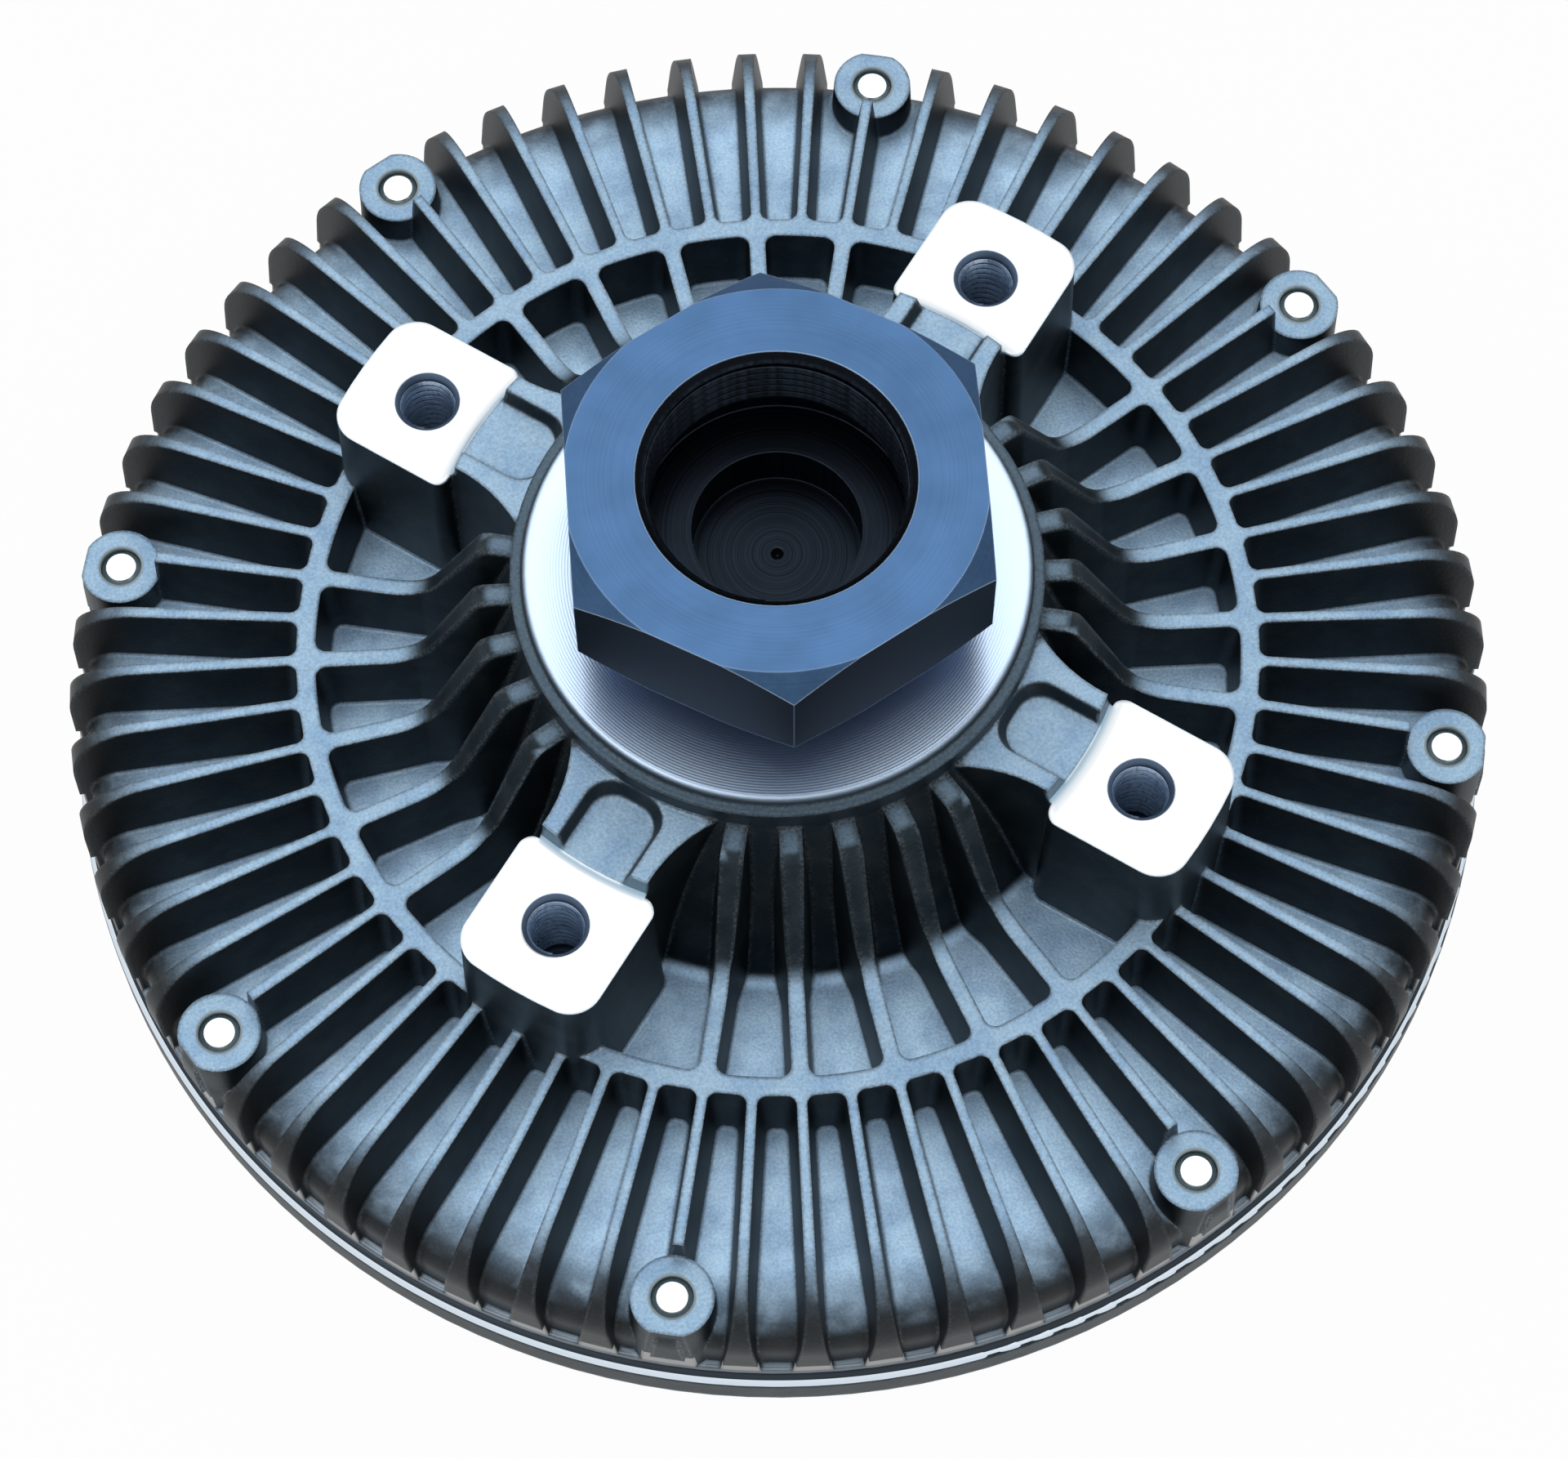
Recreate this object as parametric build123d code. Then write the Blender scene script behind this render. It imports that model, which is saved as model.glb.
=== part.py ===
from build123d import *
import math
import os

# Viscous fan clutch, standing on the ribs of its front cover with the hex of the input shaft on top.
# All sizes are millimetres. The axis of rotation is Z and the cover's rib tips lie at z = 0.

# Runs shorter than this are left out of an outline, as where a fillet takes a whole wall
SHORTEST_EDGE = 0.001

# Heights, stacked upwards from the cover's rib tips
COVER_RIB_H = 11.0
COVER_WALL = 4.0
RESERVOIR_DEPTH = 5.2
SEPARATOR_T = 1.2
ROTOR_BELOW_GAP = 1.2
ROTOR_WEB_T = 3.4
AXIAL_GAP = 0.6
LAND_DEPTH = 4.7
HOUSING_WALL = 4.0
COVER_OUTSIDE_Z = COVER_RIB_H
RESERVOIR_Z = COVER_OUTSIDE_Z + COVER_WALL
SEPARATOR_Z = RESERVOIR_Z + RESERVOIR_DEPTH
ROTOR_Z = SEPARATOR_Z + SEPARATOR_T + ROTOR_BELOW_GAP
SEAM_Z = ROTOR_Z + ROTOR_WEB_T
LAND_TIP_Z = SEAM_Z + AXIAL_GAP
CEILING_Z = LAND_TIP_Z + LAND_DEPTH
FLOOR_Z = CEILING_Z + HOUSING_WALL

# Heights of the housing casting above its outer floor
RIB_RISE = 9.6
FIN_TIP_RISE = 8.8
SCREW_BOSS_RISE = 4.7
PAD_RISE = 23.2
POCKET_ABOVE_PAD = 1.1
RAIL_ABOVE_PAD = 3.4
KNOB_RISE = 25.9
HUB_RISE = 30.6
RIB_TOP_Z = FLOOR_Z + RIB_RISE
SCREW_BOSS_Z = FLOOR_Z + SCREW_BOSS_RISE
PAD_Z = FLOOR_Z + PAD_RISE
KNOB_Z = FLOOR_Z + KNOB_RISE
HUB_Z = FLOOR_Z + HUB_RISE

# Sealed ball bearing, 20 x 52 x 15
BEARING_BORE_R = 10.0
BEARING_OUTER_R = 26.0
BEARING_W = 15.0
BALL_R = 4.76
BALL_COUNT = 7
RACE_CLEARANCE = 0.06
RING_SHOULDER = 3.6
BALL_PITCH_R = (BEARING_BORE_R + BEARING_OUTER_R) / 2
INNER_RING_R = BALL_PITCH_R - RING_SHOULDER
OUTER_RING_R = BALL_PITCH_R + RING_SHOULDER
BEARING_EDGE = 0.8
CAGE_T = 2.4
CAGE_HALF_H = 5.6
CAGE_POCKET_GAP = 0.2
SEAL_T = 1.0
SEAL_INSET = 0.4
SEAL_LIP_GAP = 0.35
SEAL_SEAT_DEPTH = 0.8
SEAL_SEAT_R = OUTER_RING_R + SEAL_SEAT_DEPTH
HUB_WALL_T = 3.5
HUB_BORE_CLEARANCE = 1.2
SEAL_RELIEF = 0.6
SEAL_RELIEF_R = SEAL_SEAT_R + SEAL_RELIEF
BEARING_TOP_Z = HUB_Z - HUB_WALL_T
BEARING_Z = BEARING_TOP_Z - BEARING_W
BEARING_MID_Z = BEARING_Z + BEARING_W / 2

# Retaining rings
SNAP_RING_T = 1.5
SNAP_RING_W = 3.2
HOUSING_GROOVE_DEPTH = 1.2
SHAFT_GROOVE_DEPTH = 1.0
SNAP_GAP_DEG = 26.0
SNAP_EAR_R = 2.0
SNAP_EAR_OUT = 0.4
SNAP_EAR_HOLE_R = 0.8
SEAT_BELOW_BEARING = 3.9
SEAT_MOUTH_WIDER = 3.0
SEAT_MOUTH_R = BEARING_OUTER_R + SEAT_MOUTH_WIDER
SEAT_MOUTH_DROP = 3.0

# Hub of the housing casting, built outwards from the bearing
HUB_SEAT_WALL = 4.35
HUB_FACE_R = BEARING_OUTER_R + HUB_SEAT_WALL
HUB_FACE_EDGE = 0.4
COLLAR_STEP_OUT = 0.25
COLLAR_STEP_R = HUB_FACE_R + COLLAR_STEP_OUT
COLLAR_STEP_DROP = 1.2
COLLAR_STEP_W = 1.2
FLANK_TOP_R = COLLAR_STEP_R + COLLAR_STEP_W
FLANK_SPREAD = 8.8
FLANK_FOOT_R = FLANK_TOP_R + FLANK_SPREAD
FLANK_FILLET = 2.5
KNOB_L = 4.25
KNOB_R = FLANK_TOP_R + KNOB_L
KNOB_FILLET = 2.2
RIB_SLOPE_L = 8.15
RIB_FOOT_R = KNOB_R + RIB_SLOPE_L
RIB_FILLET = 7.0

# Ring of the housing casting, round the lugs
LUG_CIRCLE_R = 50.0
RING_BEYOND_LUGS = 6.8
RING_INNER_R = LUG_CIRCLE_R + RING_BEYOND_LUGS
RING_T = 2.3
RING_DRAFT = 5.0
RING_OUTER_R = RING_INNER_R + RING_T

# Rim of the housing casting, built outwards from the working chamber
CHAMBER_R = 76.5
SCREW_BEYOND_CHAMBER = 6.5
SCREW_CIRCLE_R = CHAMBER_R + SCREW_BEYOND_CHAMBER
SCREW_EDGE = 4.6
TURNED_R = SCREW_CIRCLE_R + SCREW_EDGE
FIN_OVER_TURNED = 0.45
FIN_R = TURNED_R + FIN_OVER_TURNED
FIN_CORNER_R = 8.6
FLOOR_EDGE_IN = 1.1
FLOOR_EDGE_R = TURNED_R - FLOOR_EDGE_IN
LIP_H = 1.1
LIP_RISE = 0.5
TURNED_BAND_H = 3.4
FLOOR_CORNER_R = 4.3

# Cooling fins and ribs of the housing
FIN_COUNT = 64
FIN_T = 1.2
FIN_DRAFT = 6.0
FIN_POCKET_CORNER = 1.2
FIN_FOOT_CORNER = 1.0
BAY_COUNT = 4
RIBS_PER_BAY = 5
RIB_STEP = 11.25
RIB_T_OUTER = 2.0
RIB_T_INNER = 2.7
RIB_DRAFT = 4.0
RIB_SECTION_OVER = 3.0
RIB_POCKET_CORNER = 1.4

# Fan lugs
LUG_PHASE = 45.0
ARM_WAIST_HALF_W = 7.2
PAD_WIDER = 1.95
PAD_HALF_W = ARM_WAIST_HALF_W + PAD_WIDER
PAD_OVER_RING = 0.2
PAD_OUTER_R = RING_OUTER_R + PAD_OVER_RING
PAD_INNER_L = 8.0
PAD_INNER_X = LUG_CIRCLE_R - PAD_INNER_L
PAD_CORNER = 4.0
PAD_INNER_CORNER = 1.6
LUG_DRAFT = 1.5
PILOT_STEP = 0.2
PILOT_R = PAD_INNER_X - PILOT_STEP
PILOT_FILLET = 2.5
ARM_WAIST_L = 2.5
ARM_WAIST_X = PAD_INNER_X - ARM_WAIST_L
ARM_ROOT_WIDER = 3.0
ARM_ROOT_HALF_W = ARM_WAIST_HALF_W + ARM_ROOT_WIDER
ARM_ROOT_IN = 1.8
ARM_ROOT_X = FLANK_TOP_R - ARM_ROOT_IN
RAIL_T = 3.1
POCKET_END_GAP = 0.9
POCKET_END_X = FLANK_TOP_R + POCKET_END_GAP
POCKET_END_CORNER = 3.2
POCKET_SLOPE = 0.9
FAN_THREAD_MINOR_R = 3.4
FAN_THREAD_DEPTH = 16.0
FAN_HOLE_CHAMFER = 0.65

# Cover screws, M5
SCREW_COUNT = 8
SCREW_PHASE = 22.5
SCREW_R = 2.5
SCREW_THREAD_CLEARANCE = 0.05
SCREW_HOLE_CLEARANCE = 0.25
SCREW_BOSS_WALL = 2.5
SCREW_BOSS_R = SCREW_R + SCREW_BOSS_WALL
SCREW_BOSS_DRAFT = 2.5
SCREW_HEAD_OVER = 1.75
SCREW_HEAD_R = SCREW_R + SCREW_HEAD_OVER
SCREW_HEAD_H = 3.5
SCREW_HEAD_EDGE = 0.6
SCREW_SOCKET_AF = 3.0
SCREW_SOCKET_DEPTH = 2.0
SCREW_TIP_CHAMFER = 0.65
SCREW_TIP_BELOW_BOSS = 0.15

# Input shaft and its hex
HEX_AF = 48.0
HEX_PHASE = 20.1
HEX_H = 15.6
HEX_GAP = 7.5
HEX_FACE_OVER = 0.4
HEX_FACE_R = HEX_AF / 2 + HEX_FACE_OVER
HEX_CHAMFER_DEG = 30.0
NECK_R = 18.0
THREAD_MINOR_R = 15.19
THREAD_RELIEF = 1.01
THREAD_RELIEF_R = THREAD_MINOR_R + THREAD_RELIEF
THREAD_RELIEF_H = 4.0
BORE_DEPTH = 13.4
BORE_CHAMFER = 1.03
PILOT_HOLE_R = 10.0
PILOT_HOLE_DEPTH = 6.6
CENTRE_DIMPLE_R = 0.8
SHOULDER_OVER = 3.0
SHOULDER_R = BEARING_BORE_R + SHOULDER_OVER
SHOULDER_H = 1.0
STUB_STEP = 2.0
STUB_R = BEARING_BORE_R - STUB_STEP
ROTOR_HUB_BELOW_BEARING = 3.5
STUB_END_GAP = 0.6
HEX_Z = HUB_Z + HEX_GAP
SHAFT_TOP_Z = HEX_Z + HEX_H

# Rotor and the annular lands of the working chamber
RADIAL_GAP = 0.6
LAND_COUNT = 4
LAND_T = 1.6
LAND_GAP = 0.6
LAND_PITCH = 2 * (LAND_T + LAND_GAP)
LAND_TO_WALL = 2.9
LAND_INNER_R = CHAMBER_R - LAND_TO_WALL - LAND_COUNT * LAND_PITCH
ROTOR_HUB_WALL = 8.0
ROTOR_HUB_R = STUB_R + ROTOR_HUB_WALL
ROTOR_RECESS_H = 1.6
ROTOR_RECESS_RIM = 2.0
ROTOR_RECESS_R = ROTOR_HUB_R - ROTOR_RECESS_RIM
ROTOR_HOLE_COUNT = 6
ROTOR_HOLE_R = 3.0
ROTOR_HOLE_CIRCLE_R = 32.0
ROTOR_R = CHAMBER_R - RADIAL_GAP

# Front cover
BEAD_OVER_TURNED = 1.0
COVER_R = TURNED_R + BEAD_OVER_TURNED
BEAD_CORNER = 1.6
GROOVE_DEPTH = 2.0
GROOVE_R = COVER_R - GROOVE_DEPTH
GROOVE_H = 0.8
COVER_FLANGE_T = 6.5
COVER_SIDE_T = 1.9
COVER_OUTSIDE_R = CHAMBER_R + COVER_SIDE_T
COVER_CORNER = 3.0
RESERVOIR_RIM = 5.5
RESERVOIR_R = CHAMBER_R - RESERVOIR_RIM
SEPARATOR_IN = 1.5
SEPARATOR_R = CHAMBER_R - SEPARATOR_IN
SEPARATOR_SEAT_CLEARANCE = 0.2
COVER_RIB_COUNT = 32
COVER_RIB_T = 1.8
COVER_RIB_INNER_R = 31.0
COVER_RIB_IN = 2.4
COVER_RIB_OUTER_R = COVER_OUTSIDE_R - COVER_RIB_IN
COVER_RIB_LEAN = 2.0
COVER_RIB_CORNER = 5.0
VALVE_BOSS_R = 9.0
VALVE_BOSS_H = 2.0
VALVE_BOSS_INNER_H = 3.6
SEAL_GROOVE_OUT = 0.8
SEAL_GROOVE_R = CHAMBER_R + SEAL_GROOVE_OUT
SEAL_GROOVE_W = 1.9
SEAL_GROOVE_DEPTH = 1.3
STOP_PEG_R = 1.6
STOP_PEG_CIRCLE_R = 20.0
STOP_PEG_CLEARANCE = 0.4

# Separator plate with its feed and return holes and rivets
FEED_HOLE_R = 3.0
FEED_HOLE_CIRCLE_R = 40.0
RETURN_HOLE_R = 2.0
RETURN_HOLE_IN = 3.0
RETURN_HOLE_CIRCLE_R = RESERVOIR_R - RETURN_HOLE_IN
RETURN_HOLE_ANGLE = 140.0
RIVET_COUNT = 6
RIVET_PHASE = 30.0
RIVET_CIRCLE_R = (RESERVOIR_R + SEPARATOR_R) / 2
RIVET_R = 1.1
RIVET_HEAD_OVER = 0.8
RIVET_HEAD_R = RIVET_R + RIVET_HEAD_OVER
RIVET_HEAD_H = 0.5
RIVET_LENGTH = 3.2

# Temperature valve: shaft, arm and bimetal coil
VALVE_SHAFT_R = 3.5
VALVE_SHAFT_CLEARANCE = 0.05
VALVE_TANG_IN = 1.1
VALVE_TANG_R = VALVE_SHAFT_R - VALVE_TANG_IN
VALVE_END_OVER = 0.2
VALVE_TRAVEL = 28.0
VALVE_RING_T = 1.0
VALVE_RING_H = 1.4
ARM_T = 0.8
ARM_GAP = 0.4
ARM_HUB_OVER = 2.5
ARM_HUB_R = VALVE_SHAFT_R + ARM_HUB_OVER
ARM_W = 8.0
ARM_PAD_OVER = 2.5
ARM_PAD_R = FEED_HOLE_R + ARM_PAD_OVER
COIL_TURNS = 3
COIL_H = 6.0
COIL_T = 1.1
COIL_PITCH = 4.0
COIL_START_OUT = 1.5
COIL_START_R = VALVE_SHAFT_R + COIL_START_OUT
COIL_BOSS_GAP = 0.6
COIL_TAIL_REACH = 2.9
COIL_TAIL_DROP = 3.9
COIL_SLOT_CLEARANCE = 0.1
COIL_SLOT_OVER = 0.4
VALVE_END_BELOW_COIL = 0.8
ANCHOR_R = 3.0
ANCHOR_OFFSET = 8.0
ANCHOR_STEM_IN = 1.0
ANCHOR_STEM_R = ANCHOR_R - ANCHOR_STEM_IN
ANCHOR_STEM_L = 2.0
COIL_TOP_Z = COVER_OUTSIDE_Z - VALVE_BOSS_H - COIL_BOSS_GAP
COIL_Z = COIL_TOP_Z - COIL_H
VALVE_Z = COIL_Z - VALVE_END_BELOW_COIL
COIL_END_X = COIL_START_R + COIL_PITCH * COIL_TURNS
ARM_Z = SEPARATOR_Z - ARM_GAP - ARM_T
VALVE_RING_Z = COVER_OUTSIDE_Z + COVER_WALL / 2


def rounded_corner(before, corner, after, radius):
    """Start, middle and end of the arc that rounds a corner between two straight runs."""
    towards = (before - corner).normalized()
    away = (after - corner).normalized()
    half = math.acos(towards.dot(away)) / 2
    length = radius / math.tan(half)
    bisector = (towards + away).normalized()
    middle = corner + bisector * (radius / math.sin(half) - radius)
    return corner + towards * length, middle, corner + away * length


def profile(points, rounds=None):
    """Face in the XZ plane from (radius, height) corners; rounds gives radii by corner number."""
    corners = [Vector(radius, 0, height) for radius, height in points]
    bends = [(corner, corner, corner) for corner in corners]
    for number, radius in (rounds or {}).items():
        after = corners[(number + 1) % len(corners)]
        bends[number] = rounded_corner(corners[number - 1], corners[number], after, radius)
    edges = []
    for number, (start, middle, end) in enumerate(bends):
        last_end = bends[number - 1][2]
        if (start - last_end).length > SHORTEST_EDGE:
            edges.append(Line(last_end, start))
        if number in (rounds or {}):
            edges.append(ThreePointArc(start, middle, end))
    return make_face(edges)


def turned(points, rounds=None):
    """Solid of revolution about Z."""
    return revolve(profile(points, rounds), Axis.Z)


def plate(points, thickness, rounds=None):
    """Flat plate standing on the XZ plane, half its thickness to each side."""
    return extrude(profile(points, rounds), thickness / 2, both=True)


def ring(inner_r, outer_r, low_z, high_z):
    """Plain ring of rectangular section."""
    return turned([(inner_r, low_z), (outer_r, low_z), (outer_r, high_z), (inner_r, high_z)])


def peg(radius, low_z, high_z):
    """Plain disc or peg on the axis."""
    return Pos(0, 0, low_z) * extrude(Circle(radius), high_z - low_z)


def around(shape, count, phase=0.0):
    """Copies of one shape at equal angles about Z."""
    return [Rot(0, 0, phase + 360 / count * k) * shape for k in range(count)]


def drafted(face, top_z, depth, draft):
    """Boss that goes down from a level and widens by its draft."""
    return extrude(Pos(0, 0, top_z) * face, depth, dir=(0, 0, -1), taper=-draft)


def section(x, width, top_z, low_z, draft):
    """Cross-section of a web at one place along X; its flanks spread downwards by the draft."""
    low_half = width / 2 + (top_z - low_z) * math.tan(math.radians(draft))
    over = RIB_SECTION_OVER
    top_half = width / 2 - over * math.tan(math.radians(draft))
    return make_face(
        Polyline(
            (x, -low_half, low_z),
            (x, low_half, low_z),
            (x, top_half, top_z + over),
            (x, -top_half, top_z + over),
            close=True,
        )
    )


# Housing casting


def housing_core():
    """Everything of the housing that is turned about the axis: floor, hub, bearing seat and chamber wall."""
    lip_z = SEAM_Z + LIP_RISE
    ledge_z = lip_z + LIP_H
    seat_z = BEARING_Z - SEAT_BELOW_BEARING
    bore_r = NECK_R + HUB_BORE_CLEARANCE
    groove_r = BEARING_OUTER_R + HOUSING_GROOVE_DEPTH
    outline = [
        (CHAMBER_R, SEAM_Z),
        (TURNED_R - LIP_RISE, SEAM_Z),
        (TURNED_R, lip_z),
        (TURNED_R, ledge_z),
        (FLOOR_EDGE_R, ledge_z),
        (FLOOR_EDGE_R, FLOOR_Z),
        (FLANK_FOOT_R, FLOOR_Z),
        (FLANK_TOP_R, KNOB_Z - LIP_RISE),
        (FLANK_TOP_R, HUB_Z - COLLAR_STEP_DROP),
        (COLLAR_STEP_R, HUB_Z - COLLAR_STEP_DROP),
        (HUB_FACE_R, HUB_Z - HUB_FACE_EDGE),
        (HUB_FACE_R - HUB_FACE_EDGE, HUB_Z),
        (bore_r, HUB_Z),
        (bore_r, BEARING_TOP_Z + SEAL_RELIEF),
        (SEAL_RELIEF_R, BEARING_TOP_Z + SEAL_RELIEF),
        (SEAL_RELIEF_R, BEARING_TOP_Z),
        (BEARING_OUTER_R, BEARING_TOP_Z),
        (BEARING_OUTER_R, BEARING_Z),
        (groove_r, BEARING_Z),
        (groove_r, BEARING_Z - SNAP_RING_T),
        (BEARING_OUTER_R, BEARING_Z - SNAP_RING_T),
        (BEARING_OUTER_R, seat_z),
        (SEAT_MOUTH_R, seat_z - SEAT_MOUTH_DROP),
        (SEAT_MOUTH_R, CEILING_Z),
    ]
    for k in range(LAND_COUNT):
        land_r = LAND_INNER_R + LAND_PITCH * k
        outline += [
            (land_r, CEILING_Z),
            (land_r, LAND_TIP_Z),
            (land_r + LAND_T, LAND_TIP_Z),
            (land_r + LAND_T, CEILING_Z),
        ]
    outline += [(CHAMBER_R, CEILING_Z)]
    return turned(outline, {5: FLOOR_CORNER_R, 6: FLANK_FILLET})


def gap_outline(ring_r, far_r, half_angle, half_web, corner_r):
    """Plan of the gap between two webs, centred on +X; its corners at the ring are rounded."""
    along = Vector(math.cos(math.radians(half_angle)), math.sin(math.radians(half_angle)))
    across = Vector(along.Y, -along.X)
    ring_end = along * math.sqrt(ring_r**2 - half_web**2) + across * half_web
    far_end = along * math.sqrt(far_r**2 - half_web**2) + across * half_web
    ring_mirror = Vector(ring_end.X, -ring_end.Y)
    far_mirror = Vector(far_end.X, -far_end.Y)
    face = make_face(
        [
            ThreePointArc(ring_mirror, (ring_r, 0), ring_end),
            Line(ring_end, far_end),
            ThreePointArc(far_end, (far_r, 0), far_mirror),
            Line(far_mirror, ring_mirror),
        ]
    )
    at_ring = face.vertices().sort_by_distance(ring_end)[0]
    face = fillet(at_ring, corner_r)
    at_ring = face.vertices().sort_by_distance(ring_mirror)[0]
    return fillet(at_ring, corner_r)


def bay_half_angle():
    """Half of the angle between the last rib of one group and the first of the next."""
    return 180 / BAY_COUNT - RIB_STEP * (RIBS_PER_BAY - 1) / 2


def gap_cutter(ring_rs, far_r, half_angle, half_webs, corners, height):
    """Gap between two webs; each size is given at the foot and at the top, for the draft."""
    foot, top = [
        gap_outline(ring_r, far_r, half_angle, half_web, corner)
        for ring_r, half_web, corner in zip(ring_rs, half_webs, corners)
    ]
    return loft([foot, Pos(0, 0, height) * top], ruled=True)


def fin_ring():
    """Ring between the ribs and the fins, with the rounded roots of both."""
    low_z = FLOOR_Z - HOUSING_WALL / 2
    height = RIB_TOP_Z - low_z
    wall_spread = height * math.tan(math.radians(RING_DRAFT))
    fin_spread = height * math.tan(math.radians(FIN_DRAFT))
    rib_spread = height * math.tan(math.radians(RIB_DRAFT))
    inner_r = RING_INNER_R - wall_spread - RIB_POCKET_CORNER
    outer_r = RING_OUTER_R + wall_spread + FIN_POCKET_CORNER
    inner_rs = (RING_INNER_R - wall_spread, RING_INNER_R)
    outer_rs = (RING_OUTER_R + wall_spread, RING_OUTER_R)
    ribs = (RIB_T_OUTER / 2 + rib_spread, RIB_T_OUTER / 2)
    fins = (FIN_T / 2 + fin_spread, FIN_T / 2)
    rib_corners = (RIB_POCKET_CORNER, RIB_POCKET_CORNER)
    fin_corners = (FIN_FOOT_CORNER, FIN_POCKET_CORNER)
    outer_gap = gap_cutter(outer_rs, outer_r + 2, 180 / FIN_COUNT, fins, fin_corners, height)
    narrow = gap_cutter(inner_rs, inner_r - 2, RIB_STEP / 2, ribs, rib_corners, height)
    wide = gap_cutter(inner_rs, inner_r - 2, bay_half_angle(), ribs, rib_corners, height)
    cutters = around(outer_gap, FIN_COUNT, 180 / FIN_COUNT)
    cutters += around(wide, BAY_COUNT, LUG_PHASE)
    for k in range(RIBS_PER_BAY - 1):
        angle = LUG_PHASE + bay_half_angle() + RIB_STEP * (k + 0.5)
        cutters += around(narrow, BAY_COUNT, angle)
    return Pos(0, 0, low_z) * (ring(inner_r, outer_r, 0, height) - cutters)


def cooling_fins():
    """All outer fins, cleared round the screw bosses and turned along their feet."""
    foot_z = SEAM_Z + LIP_RISE + LIP_H / 2
    outline = [
        (RING_OUTER_R - RING_T / 2, RIB_TOP_Z),
        (RING_OUTER_R + FIN_POCKET_CORNER, RIB_TOP_Z),
        (FIN_R, FLOOR_Z + FIN_TIP_RISE),
        (FIN_R, foot_z),
        (CHAMBER_R + 1, foot_z),
        (CHAMBER_R + 1, CEILING_Z + HOUSING_WALL / 2),
        (RING_OUTER_R - RING_T / 2, CEILING_Z + HOUSING_WALL / 2),
    ]
    spread = (RIB_TOP_Z - foot_z) * math.tan(math.radians(FIN_DRAFT))
    start, end = RING_OUTER_R - RING_T, FIN_R + 1
    web = section(start, FIN_T, RIB_TOP_Z, foot_z, FIN_DRAFT)
    fin = plate(outline, FIN_T + 2 * spread, {2: FIN_CORNER_R})
    fin &= extrude(web, end - start, dir=(1, 0, 0))
    fins = Part() + around(fin, FIN_COUNT)
    boss_room = Pos(SCREW_CIRCLE_R, 0, SCREW_BOSS_Z) * extrude(Circle(SCREW_BOSS_R), RIB_RISE)
    fins -= around(boss_room, SCREW_COUNT, SCREW_PHASE)
    band_z = SEAM_Z + LIP_RISE + LIP_H + TURNED_BAND_H
    return fins - ring(TURNED_R, FIN_R + 2, SEAM_Z, band_z)


def hub_rib():
    """Rib from the hub down to the ring: a knob against the collar, a slope and a level part."""
    inner_r = SEAT_MOUTH_R + 1.5
    outer_r = RING_INNER_R + RING_T / 2
    low_z = FLOOR_Z - HOUSING_WALL / 2
    outline = [
        (inner_r, low_z),
        (inner_r, KNOB_Z),
        (KNOB_R, KNOB_Z),
        (RIB_FOOT_R, RIB_TOP_Z),
        (outer_r, RIB_TOP_Z),
        (outer_r, low_z),
    ]
    stations = [
        (inner_r, RIB_T_INNER, KNOB_Z),
        (KNOB_R, RIB_T_INNER, KNOB_Z),
        (RIB_FOOT_R, RIB_T_OUTER, RIB_TOP_Z),
        (outer_r, RIB_T_OUTER, RIB_TOP_Z),
    ]
    web = loft([section(x, width, top, low_z, RIB_DRAFT) for x, width, top in stations], ruled=True)
    widest = RIB_T_INNER + 2 * (KNOB_Z - low_z) * math.tan(math.radians(RIB_DRAFT))
    return plate(outline, widest, {2: KNOB_FILLET, 3: RIB_FILLET}) & web


def hub_ribs():
    """Groups of ribs between the lugs."""
    ribs = []
    for k in range(RIBS_PER_BAY):
        ribs += around(hub_rib(), BAY_COUNT, LUG_PHASE + bay_half_angle() + RIB_STEP * k)
    return ribs


def arm_outline(end_x, spread):
    """Plan of the arm between hub and pad, wider at its root; spread is added to each side for draft."""
    waist = ARM_WAIST_HALF_W + spread
    root = ARM_ROOT_HALF_W + spread
    middle_x = (ARM_ROOT_X + ARM_WAIST_X) / 2
    middle = waist + (root - waist) * 0.28
    upper = ThreePointArc((ARM_ROOT_X, root), (middle_x, middle), (ARM_WAIST_X, waist))
    edges = [
        upper,
        Line((ARM_WAIST_X, waist), (end_x, waist)),
        Line((end_x, waist), (end_x, -waist)),
        Line((end_x, -waist), (ARM_WAIST_X, -waist)),
        mirror(upper, Plane.XZ),
        Line((ARM_ROOT_X, -root), (ARM_ROOT_X, root)),
    ]
    return make_face(edges)


def pocket_outline(end_x, spread):
    """Plan of the pocket between the rails; spread is added to each side for its sloping walls."""
    start_x = POCKET_END_X - spread
    length = end_x - start_x
    plan = Pos(start_x + length / 2, 0) * Rectangle(length, 2 * (ARM_WAIST_HALF_W - RAIL_T + spread))
    return fillet(plan.vertices().sort_by(Axis.X)[:2], POCKET_END_CORNER)


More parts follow.
